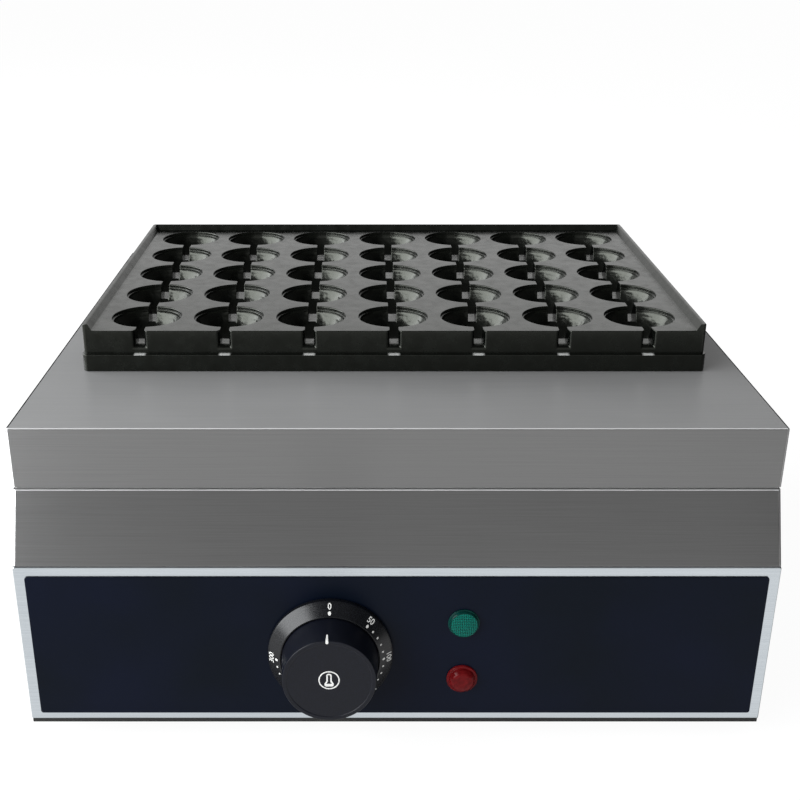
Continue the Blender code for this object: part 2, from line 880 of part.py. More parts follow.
def thermostat():
    """The capillary thermostat behind the panel, with its terminals and its shaft's socket."""
    front = shell_front
    back = front + thermostat_depth
    half_x, half_z = thermostat_width / 2, thermostat_height / 2
    low = (dial_x - half_x, front, dial_z - half_z)
    body = block("thermostat_body", low, (dial_x + half_x, back, dial_z + half_z))
    tabs = [
        (
            (dial_x + offset - tab_thickness / 2, back - join_depth, dial_z - tab_width / 2),
            (dial_x + offset + tab_thickness / 2, back + tab_length, dial_z + tab_width / 2),
        )
        for offset in (-tab_spacing / 2, tab_spacing / 2)
    ]
    join(body, blocks("thermostat_tabs", tabs))
    socket = front + shaft_socket_depth + seat_gap
    near, tip = front - cut_overrun, dial_screw_tip() + seat_gap
    screws = [((x, near, z), (x, tip, z)) for x, z in dial_screw_places()]
    shaft_hole = [((dial_x, near, dial_z), (dial_x, socket, dial_z))]
    cut(
        body,
        bars("thermostat_socket", shaft_hole, shaft_radius + seat_gap),
        bars("thermostat_screw_holes", screws, dial_screw_radius + seat_gap, screw_steps),
    )
    show(body, ceramic())
    shaft = shaft_shape("thermostat_shaft", knob_bore_front(), front + shaft_socket_depth, 0)
    show(shaft, zinc_steel())
    seat = dial_seat - dial_floor_thickness - seat_gap
    head = (dial_screw_head_radius, dial_screw_head_height)
    for side, (x, z) in zip(("left", "right"), dial_screw_places()):
        place = facing_front(x, seat, z)
        screw("thermostat_screw_" + side, place, head, dial_screw_radius, dial_screw_length)


def dial_screw_tip():
    return dial_seat - dial_floor_thickness - seat_gap + dial_screw_length


def screw(name, place, head, radius, length):
    """A pan head screw. Its frame's +Z points out of the head, which sits on the frame's origin."""
    head_radius, head_height = head
    profile = [
        (0, head_height),
        (head_radius / 2, head_height),
        (head_radius, head_height / 2),
        (head_radius, 0),
        (radius, 0),
        (radius, -length + radius),
        (radius / 2, -length),
        (0, -length),
    ]
    show(turned(name, profile, screw_steps, place), zinc_steel())


def lamps():
    """Two snap-in pilot lamps: a lens in front of the overlay and a barbed body through the panel."""
    colours = {"green": (0.005, 0.14, 0.09), "red": (0.22, 0.012, 0.015)}
    seat = overlay_face - seat_gap
    for colour, z in lamp_places():
        lens = [
            (0, lens_height),
            (lens_crown_radius, lens_height - (lens_height - lens_shoulder_height) / 3),
            (lens_dome_radius, lens_shoulder_height),
            (lens_diameter / 2, lens_flange_height),
            (lens_diameter / 2, 0),
            (0, 0),
        ]
        place = facing_front(lamp_x, seat, z)
        glass = finish(colour + " lens", colours[colour], 0.2, transmission=0.3)
        show(turned("lamp_lens_" + colour, lens, round_steps + bend_steps, place), glass)
        start = -seat_gap
        barb = start - overlay_thickness - panel_sheet - seat_gap * 3
        body = [
            (0, start),
            (lamp_body_radius, start),
            (lamp_body_radius, barb),
            (lamp_barb_radius, barb),
            (lamp_body_radius, barb - lamp_barb_length),
            (lamp_body_radius, start - lamp_body_length),
            (0, start - lamp_body_length),
        ]
        holder = turned("lamp_body_" + colour, body, round_steps, place)
        back = seat - start + lamp_body_length
        tabs = [
            (
                (lamp_x + offset - tab_thickness / 2, back - join_depth, z - tab_width / 2),
                (lamp_x + offset + tab_thickness / 2, back + tab_length, z + tab_width / 2),
            )
            for offset in (-lamp_body_radius / 2, lamp_body_radius / 2)
        ]
        join(holder, blocks("lamp_tabs_" + colour, tabs))
        show(holder, finish("white nylon", (0.75, 0.74, 0.70), 0.5))


def element_rows():
    """Each hairpin's number and middle, front to back."""
    for index in range(element_count):
        yield str(index + 1), plate_middle + (index - (element_count - 1) / 2) * element_pitch


def element_route(middle):
    """One hairpin: down-turned cold end, leg, round end, leg and down-turned cold end."""
    half = element_leg_spacing / 2
    half_turn = arc((0, 0), half, -90, 90, bend_steps * 2)
    round_end = [(-element_loop_reach - x, middle + y, element_z) for x, y in half_turn]
    drop = [
        (element_leg_reach + x, element_z + z)
        for x, z in arc((0, -element_bend_radius), element_bend_radius, 90, 0, bend_steps)
    ]
    corner = drop[-1][0]
    drop += [(corner, element_z - element_drop), (corner, element_z - element_drop - element_radius / 2)]
    drop.append((corner, element_z - element_drop - element_pin_length))
    front = [(x, middle - half, z) for x, z in reversed(drop)]
    back = [(x, middle + half, z) for x, z in drop]
    return front + round_end + back


def heating_elements():
    """Tubular hairpins against the plate's underside."""
    pin = element_pin_radius / element_radius
    for name, middle in element_rows():
        route = element_route(middle)
        thin = [1.0] * len(route)
        for index in (0, 1, -1, -2):
            thin[index] = pin
        sheath = finish("oxidised element sheath", (0.16, 0.17, 0.16), 0.5, 0.8)
        show(tube("heating_element_" + name, route, element_radius, thin=thin), sheath)


def clamp_set():
    """Two bars press the elements to the plate. Each bolt runs through shield, board, spacer and bar."""
    length = bolt_reach + bar_end_margin
    for side, x in (("left", -bolt_x), ("right", bolt_x)):
        bar = block(
            "clamp_bar_" + side,
            (x - bar_width / 2, plate_middle - length, bar_top - bar_thickness),
            (x + bar_width / 2, plate_middle + length, bar_top),
        )
        holes = [
            ((x, y, bar_top - bar_thickness - cut_overrun), (x, y, bar_top + cut_overrun))
            for column, y in bolt_places()
            if column == x
        ]
        cut(bar, bars("bar_holes_" + side, holes, bolt_radius + seat_gap, screw_steps))
        show(bar, zinc_steel())
    head_seat = shield_bottom - seat_gap
    for name, (x, y) in zip(("front_left", "rear_left", "front_right", "rear_right"), bolt_places()):
        shank = [((x, y, head_seat - join_depth), (x, y, boss_bottom + bolt_grip))]
        head = [((x, y, head_seat - bolt_head_height), (x, y, head_seat))]
        bolt = bars("clamp_bolt_" + name, shank, bolt_radius, screw_steps)
        join(bolt, bars("bolt_head_" + name, head, bolt_head_radius, hex_sides))
        show(bolt, zinc_steel())
        bore = bolt_radius + seat_gap
        sleeve = [
            (spacer_radius, spacer_top),
            (spacer_radius, spacer_top - spacer_length),
            (bore, spacer_top - spacer_length),
            (bore, spacer_top),
        ]
        place = Matrix.Translation((x, y, 0))
        show(turned("shield_spacer_" + name, sleeve, screw_steps, place, closed=True), zinc_steel())


def shield_and_board():
    """A sheet tray under the elements, with an insulating board in it."""
    half_x, half_y = board_width / 2, board_depth / 2
    board = block(
        "insulation_board",
        (-half_x, plate_middle - half_y, board_bottom),
        (half_x, plate_middle + half_y, board_top),
    )
    low, high = shield_bottom - cut_overrun, board_top + cut_overrun
    holes = [((x, y, low), (x, y, high)) for x, y in bolt_places()]
    cut(board, bars("board_holes", holes, bolt_radius + seat_gap, screw_steps))
    show(board, finish("ceramic fibre board", (0.72, 0.70, 0.64), 0.9))
    inner_x, inner_y = half_x + seat_gap, half_y + seat_gap
    tray = block(
        "heat_shield",
        (-inner_x - shield_sheet, plate_middle - inner_y - shield_sheet, shield_bottom),
        (inner_x + shield_sheet, plate_middle + inner_y + shield_sheet, shield_top + shield_wall_height),
    )
    hollow = block(
        "shield_hollow",
        (-inner_x, plate_middle - inner_y, shield_top),
        (inner_x, plate_middle + inner_y, shield_top + shield_wall_height + cut_overrun),
    )
    cut(tray, hollow, bars("shield_holes", holes, bolt_radius + seat_gap, screw_steps))
    show(tray, finish("aluminised steel", (0.62, 0.62, 0.60), 0.42, 1.0))


def sensor():
    """The sensing bulb in its block under the plate, and the capillary from it to the thermostat."""
    z = boss_bottom - seat_gap - holder_height / 2
    holder = block(
        "bulb_holder",
        (-holder_length / 2, plate_middle - holder_width / 2, z - holder_height / 2),
        (holder_length / 2, plate_middle + holder_width / 2, z + holder_height / 2),
    )
    reach = holder_length / 2 + cut_overrun
    bore = [((-reach, plate_middle, z), (reach, plate_middle, z))]
    cut(holder, bars("holder_bore", bore, bulb_radius + seat_gap, screw_steps))
    show(holder, zinc_steel())
    half = bulb_length / 2
    rod = [((-half, plate_middle, z), (half, plate_middle, z))]
    bulb = bars("sensing_bulb", rod, bulb_radius, screw_steps)
    show(bulb, copper())
    below = spacer_top - spacer_length / 2
    front_edge = plate_middle - board_depth / 2
    top = dial_z + thermostat_height / 2
    sweep = capillary_sweep
    marks = [
        (dial_x, shell_front + thermostat_depth / 2, top + seat_gap),
        (dial_x, shell_front + thermostat_depth / 2, top + sweep),
        (dial_x - bulb_radius, front_edge - sweep * 2, shield_bottom),
        (dial_x - sweep, front_edge - sweep / 2, below),
        (-half - sweep, front_edge + sweep * 3, below),
        (-half - sweep * 3 / 2, plate_middle - sweep * 2, below),
        (-half - sweep, plate_middle - sweep / 3, z - bulb_radius),
        (-half - sweep / 2, plate_middle, z),
        (-half - seat_gap, plate_middle, z),
    ]
    route = smooth_route(marks, route_steps)
    show(tube("capillary_tube", route, capillary_radius, thin_tube_sides), copper())


def foot_places():
    for side, x in (("left", -side_x + foot_inset_x), ("right", side_x - foot_inset_x)):
        yield "front_" + side, x, panel_face + foot_front_inset
        yield "rear_" + side, x, cover_back - foot_rear_inset


def base_plate():
    """A folded tray that closes the body from below, slotted for air."""
    x = side_x - housing_sheet - seat_gap
    front = shell_front + housing_sheet + seat_gap
    back = shell_back - housing_sheet - seat_gap
    tray = block("base_plate", (-x, front, body_bottom), (x, back, body_bottom + base_wall_height))
    hollow = block(
        "base_hollow",
        (-x + base_sheet, front + base_sheet, body_bottom + base_sheet),
        (x - base_sheet, back - base_sheet, body_bottom + base_wall_height + cut_overrun),
    )
    low, high = body_bottom - cut_overrun, body_bottom + base_sheet + cut_overrun
    half_length, half_width = base_slot_length / 2, base_slot_width / 2
    slots = []
    for x_slot in (-base_slot_length, base_slot_length):
        for index in range(base_slot_count):
            y_slot = (front + back) / 2 + (index - (base_slot_count - 1) / 2) * base_slot_pitch
            near = (x_slot - half_length, y_slot - half_width, low)
            slots.append((near, (x_slot + half_length, y_slot + half_width, high)))
    screws = [((x_foot, y_foot, low), (x_foot, y_foot, high)) for _, x_foot, y_foot in foot_places()]
    holes = bars("base_screw_holes", screws, foot_screw_radius + seat_gap, screw_steps)
    cut(tray, hollow, blocks("base_slots", slots), holes)
    show(tray, finish("galvanised steel", (0.50, 0.51, 0.52), 0.45, 1.0))


def feet():
    """Four rubber feet, each with a screw up through it into the base plate."""
    top = body_bottom - seat_gap
    profile = [
        (foot_top_radius, top),
        (foot_bottom_radius, foot_edge_radius),
        (foot_bottom_radius - foot_edge_radius, 0),
        (foot_counterbore_radius, 0),
        (foot_counterbore_radius, foot_counterbore_depth),
        (foot_bore_radius, foot_counterbore_depth),
        (foot_bore_radius, top),
    ]
    for name, x, y in foot_places():
        foot = turned("foot_" + name, profile, round_steps, Matrix.Translation((x, y, 0)), closed=True)
        show(foot, finish("black rubber", (0.02, 0.02, 0.02), 0.75))
        place = facing_down(x, y, foot_counterbore_depth - seat_gap)
        head = (foot_screw_head_radius, foot_screw_head_height)
        screw("foot_screw_" + name, place, head, foot_screw_radius, foot_screw_length)


def rear_screw_places():
    x = side_x - rear_screw_inset
    for side in (-1, 1):
        for z in (body_bottom + rear_screw_end_inset, body_top - rear_screw_end_inset):
            yield side * x, z


def rear_panel():
    """The back sheet with two groups of vent slots, the mains cable's gland and the earth stud."""
    back = cover_back
    panel = block("rear_panel", (-side_x, back - rear_sheet, body_bottom), (side_x, back, body_top))
    front, rear = back - rear_sheet - cut_overrun, back + cut_overrun
    vent_low = body_top - vent_below_body_top - vent_length / 2
    slots = []
    for middle in (-vent_centre_x, vent_centre_x):
        for index in range(vent_count):
            x = middle + (index - (vent_count - 1) / 2) * vent_pitch
            near = (x - vent_width / 2, front, vent_low)
            slots.append((near, (x + vent_width / 2, rear, vent_low + vent_length)))
    z = body_bottom + gland_height
    gland = [((gland_x, front, z), (gland_x, rear, z))]
    earth = [((earth_x, front, z), (earth_x, rear, z))]
    screws = [((x, front, screw_z), (x, rear, screw_z)) for x, screw_z in rear_screw_places()]
    cut(
        panel,
        blocks("vents", slots),
        bars("rear_gland_hole", gland, gland_radius + seat_gap),
        bars("rear_earth_hole", earth, earth_radius + seat_gap, screw_steps),
        bars("rear_screw_holes", screws, sheet_screw_radius + seat_gap, screw_steps),
    )
    show(panel, brushed_steel())


def cable_gland():
    """The empty gland for the mains cable, with its locknut on the inside of the rear panel."""
    z = body_bottom + gland_height
    place = facing_back(gland_x, cover_back + seat_gap, z)
    inside = -(gland_inner_length + rear_sheet + seat_gap)
    profile = [
        (gland_bore_radius, gland_collar_length + gland_dome_length),
        (gland_mouth_radius, gland_collar_length + gland_dome_length),
        (gland_dome_radius, gland_collar_length + gland_dome_length / 2),
        (gland_dome_radius, gland_collar_length),
        (gland_collar_radius, gland_collar_length),
        (gland_collar_radius, 0),
        (gland_radius, 0),
        (gland_radius, inside),
        (gland_bore_radius, inside),
    ]
    show(turned("cable_gland", profile, round_steps, place, closed=True), black_plastic())
    ring_nut("gland_locknut", gland_x, z, locknut_radius, locknut_thickness, gland_radius, black_plastic())


def ring_nut(name, x, z, radius, thickness, bore, material):
    """A hexagon nut on the inside of the rear panel."""
    back = cover_back - rear_sheet - seat_gap
    nut = bars(name, [((x, back - thickness, z), (x, back, z))], radius, hex_sides)
    hole = [((x, back - thickness - cut_overrun, z), (x, back + cut_overrun, z))]
    cut(nut, bars(name + "_hole", hole, bore + seat_gap))
    show(nut, material)


def earth_terminal():
    """The equipotential stud through the rear panel, with its collar outside and its nut inside."""
    z = body_bottom + gland_height
    inner = cover_back - rear_sheet - earth_inner_length
    collar_front = cover_back + seat_gap
    rod = [((earth_x, inner, z), (earth_x, cover_back + earth_outer_length, z))]
    collar = [((earth_x, collar_front, z), (earth_x, collar_front + earth_nut_thickness, z))]
    stud = bars("earth_stud", rod, earth_radius, screw_steps)
    join(stud, bars("earth_collar", collar, earth_nut_radius, hex_sides))
    brass = finish("brass", (0.60, 0.45, 0.18), 0.3, 1.0)
    show(stud, brass)
    ring_nut("earth_nut", earth_x, z, earth_nut_radius, earth_nut_thickness, earth_radius, brass)


def sheet_screws():
    """The screws that hold the cover to the body's neck and the rear panel to the body's flanges."""
    head = (sheet_screw_head_radius, sheet_screw_head_height)
    names = ("left_front", "left_rear", "right_front", "right_rear")
    z = cover_bottom + cover_screw_height
    for name, (side, y) in zip(names, cover_screw_places()):
        place = facing_side(side * (side_x + seat_gap), y, z, side)
        screw("cover_screw_" + name, place, head, sheet_screw_radius, sheet_screw_length)
    names = ("left_lower", "left_upper", "right_lower", "right_upper")
    for name, (x, z) in zip(names, rear_screw_places()):
        place = facing_back(x, cover_back + seat_gap, z)
        screw("rear_screw_" + name, place, head, sheet_screw_radius, sheet_screw_length)


def block_place():
    """The middle of the terminal block's foot on the base plate."""
    return gland_x, cover_back - rear_sheet - block_behind, body_bottom + base_sheet + seat_gap


def terminal_block():
    x, y, z = block_place()
    low = (x - block_width / 2, y - block_depth / 2, z)
    body = block("terminal_block", low, (x + block_width / 2, y + block_depth / 2, z + block_height))
    reach = block_depth / 2 + cut_overrun
    middle = z + block_height / 2
    bores = [((x + pole, y - reach, middle), (x + pole, y + reach, middle)) for pole in block_poles()]
    cut(body, bars("block_bores", bores, block_bore_radius, screw_steps))
    show(body, ceramic())


def block_poles():
    return [(index - (block_pole_count - 1) / 2) * block_pole_spacing for index in range(block_pole_count)]


def wires():
    """Sleeved wires between the terminal block, thermostat, heaters, lamps and earth stud."""
    x, y, z = block_place()
    middle = z + block_height / 2
    front = y - block_depth / 2
    rear = y + block_depth / 2
    live, neutral, earth = [x + pole for pole in block_poles()]
    tab_end = shell_front + thermostat_depth + tab_length + seat_gap
    lamp_end = overlay_face + lamp_body_length + tab_length + seat_gap
    lamp_z = lamp_places()[1][1]
    pin_x = element_leg_reach + element_bend_radius
    pin_z = element_z - element_drop - element_pin_length - seat_gap
    first_row = next(element_rows())[1]
    pin_y = first_row - element_leg_spacing / 2
    lift = block_height
    far = block_width
    red = finish("red silicone sleeve", (0.35, 0.02, 0.02), 0.5)
    blue = finish("blue silicone sleeve", (0.02, 0.06, 0.30), 0.5)
    green = finish("green and yellow sleeve", (0.20, 0.35, 0.03), 0.5)
    wire(
        "wire_live",
        [
            (live, front + wire_entry, middle),
            (live, front - lift, middle),
            (live + lift, front - far * 2, middle + lift),
            (dial_x - tab_spacing, tab_end + far, dial_z - lift / 2),
            (dial_x - tab_spacing / 2, tab_end + lift, dial_z),
            (dial_x - tab_spacing / 2, tab_end, dial_z),
        ],
        red,
    )
    wire(
        "wire_heater",
        [
            (dial_x + tab_spacing / 2, tab_end, dial_z),
            (dial_x + tab_spacing / 2, tab_end + lift, dial_z),
            (dial_x + far, tab_end + far, dial_z - lift / 2),
            (pin_x - far, pin_y, dial_z),
            (pin_x, pin_y, pin_z - lift),
            (pin_x, pin_y, pin_z),
        ],
        red,
    )
    wire(
        "wire_neutral",
        [
            (neutral, front + wire_entry, middle),
            (neutral, front - lift, middle),
            (neutral + far * 2, front - far * 2, middle),
            (lamp_x + lift, lamp_end + far, lamp_z - lift / 2),
            (lamp_x + lamp_body_radius / 2, lamp_end + lift, lamp_z),
            (lamp_x + lamp_body_radius / 2, lamp_end, lamp_z),
        ],
        blue,
    )
    stud_front = cover_back - rear_sheet - earth_inner_length - seat_gap
    stud_z = body_bottom + gland_height
    wire(
        "wire_earth",
        [
            (earth, rear - wire_entry, middle),
            (earth, rear + lift / 2, middle),
            (earth_x, stud_front - lift / 2, stud_z),
            (earth_x, stud_front, stud_z),
        ],
        green,
    )


def wire(name, marks, material):
    show(tube(name, smooth_route(marks, wire_steps), wire_radius, thin_tube_sides), material)


def smooth_round_faces():
    """Shades round pieces smooth and keeps their edges sharp."""
    for obj in parts.objects:
        if obj.type == "MESH" and not obj.modifiers:
            obj.data.shade_smooth()
            obj.data.set_sharp_from_angle(angle=math.radians(sharp_edge_degrees))


def main():
    clear_scene()
    mould_plate()
    cover_hood()
    body_shell()
    front_panel()
    control_overlay()
    dial_ring()
    knob()
    thermostat()
    lamps()
    heating_elements()
    clamp_set()
    shield_and_board()
    sensor()
    base_plate()
    feet()
    rear_panel()
    cable_gland()
    earth_terminal()
    sheet_screws()
    terminal_block()
    wires()
    smooth_round_faces()


main()
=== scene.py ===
import math
import bmesh
import bpy
import numpy as np
from mathutils import Matrix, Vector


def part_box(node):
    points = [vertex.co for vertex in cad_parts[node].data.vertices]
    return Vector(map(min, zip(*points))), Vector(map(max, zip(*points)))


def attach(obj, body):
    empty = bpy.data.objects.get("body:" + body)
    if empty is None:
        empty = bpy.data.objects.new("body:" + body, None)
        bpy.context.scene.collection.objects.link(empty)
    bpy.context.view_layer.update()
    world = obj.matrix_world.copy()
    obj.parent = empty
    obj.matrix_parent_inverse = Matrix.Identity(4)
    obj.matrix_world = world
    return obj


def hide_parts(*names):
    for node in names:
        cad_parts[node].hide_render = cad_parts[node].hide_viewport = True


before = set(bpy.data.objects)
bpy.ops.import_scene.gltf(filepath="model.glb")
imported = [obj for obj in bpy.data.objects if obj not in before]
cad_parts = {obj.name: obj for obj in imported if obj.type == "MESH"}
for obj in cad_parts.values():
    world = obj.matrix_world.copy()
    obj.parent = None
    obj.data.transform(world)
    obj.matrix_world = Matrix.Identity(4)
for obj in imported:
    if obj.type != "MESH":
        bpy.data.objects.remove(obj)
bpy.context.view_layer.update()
print("frame: %d nodes loaded" % len(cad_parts))

mm = 0.001
weldDistance = 0.000002  # points closer than this are one point


def boxOf(node):  # lowest and highest corner of a CAD node, in mm
    low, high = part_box(node)
    return np.array(low) / mm, np.array(high) / mm


def linearColour(code):  # sRGB hex to linear light: x / 12.92 below 0.04045, else ((x + 0.055) / 1.055) ^ 2.4
    parts = np.array([int(code[i:i + 2], 16) for i in (1, 3, 5)]) / 255
    linear = np.where(parts <= 0.04045, parts / 12.92, ((parts + 0.055) / 1.055) ** 2.4)
    return (*linear.tolist(), 1.0)


def addNode(tree, kind, settings=None, links=None):
    # settings: property or socket to value; links: socket to a node, for its first output, or to (node, output)
    node = tree.nodes.new("ShaderNode" + kind)
    for key, value in (settings or {}).items():
        if isinstance(key, str) and hasattr(node, key):
            setattr(node, key, value)
        else:
            node.inputs[key].default_value = value
    for socket, link in (links or {}).items():
        source, output = link if isinstance(link, tuple) else (link, 0)
        tree.links.new(source.outputs[output], node.inputs[socket])
    return node


def arcPoints(centre, radius, startDegrees, endDegrees, steps):  # centre + radius * (cos a, sin a), a evenly spaced
    angle = np.radians(np.linspace(startDegrees, endDegrees, steps + 1))
    return np.stack([centre[0] + radius * np.cos(angle), centre[1] + radius * np.sin(angle)], axis=1)


def filletLine(corners, radii, steps=4):  # a polyline whose corners are replaced with arcs tangent to both sides
    corners = np.array(corners, float)
    line = [corners[0]]
    for before, here, after, radius in zip(corners, corners[1:], corners[2:], radii):
        if radius <= 0:
            line.append(here)
            continue
        back = (before - here) / np.linalg.norm(before - here)
        ahead = (after - here) / np.linalg.norm(after - here)
        half = math.acos(np.clip(back @ ahead, -1, 1)) / 2
        reach = radius / math.tan(half)
        middle = here + (back + ahead) / np.linalg.norm(back + ahead) * radius / math.sin(half)
        first, last = here + back * reach - middle, here + ahead * reach - middle
        turn = math.atan2(first[0] * last[1] - first[1] * last[0], first @ last)
        for angle in np.linspace(0, turn, steps + 1):
            c, s = math.cos(angle), math.sin(angle)
            line.append(middle + np.array([first[0] * c - first[1] * s, first[0] * s + first[1] * c]))
    line.append(corners[-1])
    return np.array(line)


def turnedGrid(profile, steps):  # (radius, height) points turned about +Z: (r cos a, r sin a, h)
    angle = np.linspace(0, 2 * np.pi, steps + 1)[:, None]
    radius, height = np.array(profile, float).T
    return np.stack([radius * np.cos(angle), radius * np.sin(angle), height + 0 * angle], axis=2)


def roundedRectangle(low, high, radius, steps=6):  # closed plan path, anticlockwise, with its outward normals
    points, normals = [], []
    (x0, y0), (x1, y1) = np.add(low, radius), np.subtract(high, radius)
    for centre, start in (((x1, y0), -90), ((x1, y1), 0), ((x0, y1), 90), ((x0, y0), 180)):
        arc = arcPoints((0, 0), 1, start, start + 90, steps)
        points.append(np.array(centre) + arc * radius)
        normals.append(arc)
    return np.concatenate(points + [points[0][:1]]), np.concatenate(normals + [normals[0][:1]])


def sweptGrid(path, normals, profile):  # profile (outward, height) carried along a plan path: p + n * outward
    outward, height = np.array(profile, float).T
    plan = path[:, None, :] + normals[:, None, :] * outward[None, :, None]
    return np.concatenate([plan, np.broadcast_to(height[None, :, None], (*plan.shape[:2], 1))], axis=2)


def placed(grid, matrix):  # every point of a grid through a 4 x 4 matrix, in mm
    m = np.array(matrix)
    return grid @ m[:3, :3].T + m[:3, 3]


def facing(direction, x, y, z):  # a frame whose +Z points to the front, back, left, right or down
    turns = {"front": (90, "X"), "back": (-90, "X"), "left": (-90, "Y"), "right": (90, "Y"), "down": (180, "X")}
    degrees, axis = turns[direction]
    return Matrix.Translation((x, y, z)) @ Matrix.Rotation(math.radians(degrees), 4, axis)


def flipped(grid):  # the same surface with its faces turned over
    return grid[::-1]


def bothSides(grids):  # the grids and their mirror images across X = 0, with all faces still outwards
    return grids + [flipped(grid) * (-1, 1, 1) for grid in grids]


def meshFromGrids(name, grids, sharpDegrees=38, recalculate=False):
    # each grid of points gives quads between neighbouring rows and columns; equal points are then merged
    points, quads, start = [], [], 0
    for grid in grids:
        rows, columns = grid.shape[:2]
        index = start + np.arange(rows * columns).reshape(rows, columns)
        quads.append(np.stack([index[:-1, :-1], index[1:, :-1], index[1:, 1:], index[:-1, 1:]], axis=2).reshape(-1, 4))
        points.append(grid.reshape(-1, 3))
        start += rows * columns
    points, quads = np.concatenate(points) * mm, np.concatenate(quads)
    mesh = bpy.data.meshes.new(name)
    mesh.vertices.add(len(points))
    mesh.vertices.foreach_set("co", points.astype(np.float32).ravel())
    mesh.loops.add(quads.size)
    mesh.loops.foreach_set("vertex_index", quads.astype(np.int32).ravel())
    mesh.polygons.add(len(quads))
    mesh.polygons.foreach_set("loop_start", (np.arange(len(quads)) * 4).astype(np.int32))
    mesh.update(calc_edges=True)
    bm = bmesh.new()
    bm.from_mesh(mesh)
    bmesh.ops.remove_doubles(bm, verts=bm.verts, dist=weldDistance)
    bmesh.ops.dissolve_degenerate(bm, edges=bm.edges, dist=weldDistance)
    if recalculate:
        bmesh.ops.recalc_face_normals(bm, faces=bm.faces)
    bm.to_mesh(mesh)
    bm.free()
    mesh.shade_smooth()
    mesh.set_sharp_from_angle(angle=math.radians(sharpDegrees))
    return mesh


def addPiece(name, mesh, material, replaces=(), body="housing", weighted=True):
    # a piece rides its body, wears its material and stands for the CAD nodes in `replaces`
    piece = bpy.data.objects.new(name, mesh)
    bpy.context.scene.collection.objects.link(piece)
    mesh.materials.append(material)
    if weighted:
        normals = piece.modifiers.new("FlatFacesStayFlat", "WEIGHTED_NORMAL")
        normals.keep_sharp = True
    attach(piece, body)
    if replaces:
        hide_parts(*replaces)
    return piece


def addSurface(name, grids, material, replaces=(), body="housing", sharp=38, recalculate=True, weighted=True):
    # a piece whose mesh is made from grids; `sharp` is the angle in degrees past which an edge isn't smoothed
    return addPiece(name, meshFromGrids(name, grids, sharp, recalculate), material, replaces, body, weighted)


def faceValues(mesh, key):  # a face's normal or centre, one row for each face
    values = np.empty(len(mesh.polygons) * 3)
    mesh.polygons.foreach_get(key, values)
    return values.reshape(-1, 3)


def secondMaterial(mesh, material, where):  # faces for which `where` is true wear the piece's second material
    mesh.materials.append(material)
    mesh.polygons.foreach_set("material_index", where.astype(np.int32))


def baseMaterial(name, colour, roughness, metallic=0.0, **sockets):
    # a Principled shader with plain values set on its own sockets
    material = bpy.data.materials.new(name)
    material.use_nodes = True
    shader = material.node_tree.nodes["Principled BSDF"]
    shader.inputs["Base Color"].default_value = linearColour(colour)
    shader.inputs["Roughness"].default_value = roughness
    shader.inputs["Metallic"].default_value = metallic
    for socket, value in sockets.items():
        shader.inputs[socket.replace("_", " ")].default_value = value
    return material, material.node_tree, shader


cameraSettings = {
    "place": (-0.0190, -0.8111, 0.4626),
    "tiltDegrees": 66.774,
    "lens": 53.24,
    "sensor": 36,
    "shiftX": 0.0444,
    "shiftY": 0.05,
}
cameraData = bpy.data.cameras.new("photoCamera")
cameraData.lens, cameraData.sensor_width = cameraSettings["lens"], cameraSettings["sensor"]
cameraData.shift_x, cameraData.shift_y = cameraSettings["shiftX"], cameraSettings["shiftY"]
camera = bpy.data.objects.new("photoCamera", cameraData)
camera.location = cameraSettings["place"]
camera.rotation_euler = (math.radians(cameraSettings["tiltDegrees"]), 0, 0)
bpy.context.scene.collection.objects.link(camera)
bpy.context.scene.camera = camera
bpy.context.scene.view_settings.view_transform = "Standard"

stageSettings = {
    "floorRings": (0, 600, 3000, 30000),  # radii of the floor's circles, in mm
    "floorColour": "#e6e6e6",
    "floorRoughness": 0.9,
    "floorWhite": 1.1,
    "floorShare": 0.85,  # how much of the floor the camera sees as plain white; the rest carries the shadow
    "footShadeLevel": 0.06,  # how bright mirrored rays see the floor along the object's front foot: painted shade
    "diffuseLevel": 0.4,  # the world's light on the object
}
# soft steps, each as (axis, start, end, value before, value after): floorFades is what mirrored rays see of the floor,
# by its place in metres, and worldFades what they see round about, by the components of the ray's direction
floorFades = {
    "card": ("X", 0.5, 0.85, 0.9, 0.12),  # a black card lies on the floor's right part
    "footShadeFront": ("Y", -0.228, -0.205, 0.0, 1.0),  # painted shade on the floor starts at the front panel
    "footShadeSide": ("X", -0.26, -0.17, 0.0, 1.0),  # and fades out towards the object's left
}
worldFades = {
    "low": ("Z", 0.5, 0.75, 1.0, 0.0),  # the white backdrop ends at this height
    "raised": ("Z", 0.09, 0.2, 0.2, 1.0),  # and is darker near the floor
    "behind": ("Y", 0.1, 0.75, 0.0, 1.0),  # it stands behind the object
    "narrow": ("side", 0.33, 0.6, 1.0, 0.0),  # and reaches this far to both sides
    "room": ("Z", 0.45, 0.8, 0.52, 0.08),  # the room behind the camera, then the ceiling
    "right": ("X", 0.3, 0.55, 1.0, 0.12),  # the room is darker on the right
}


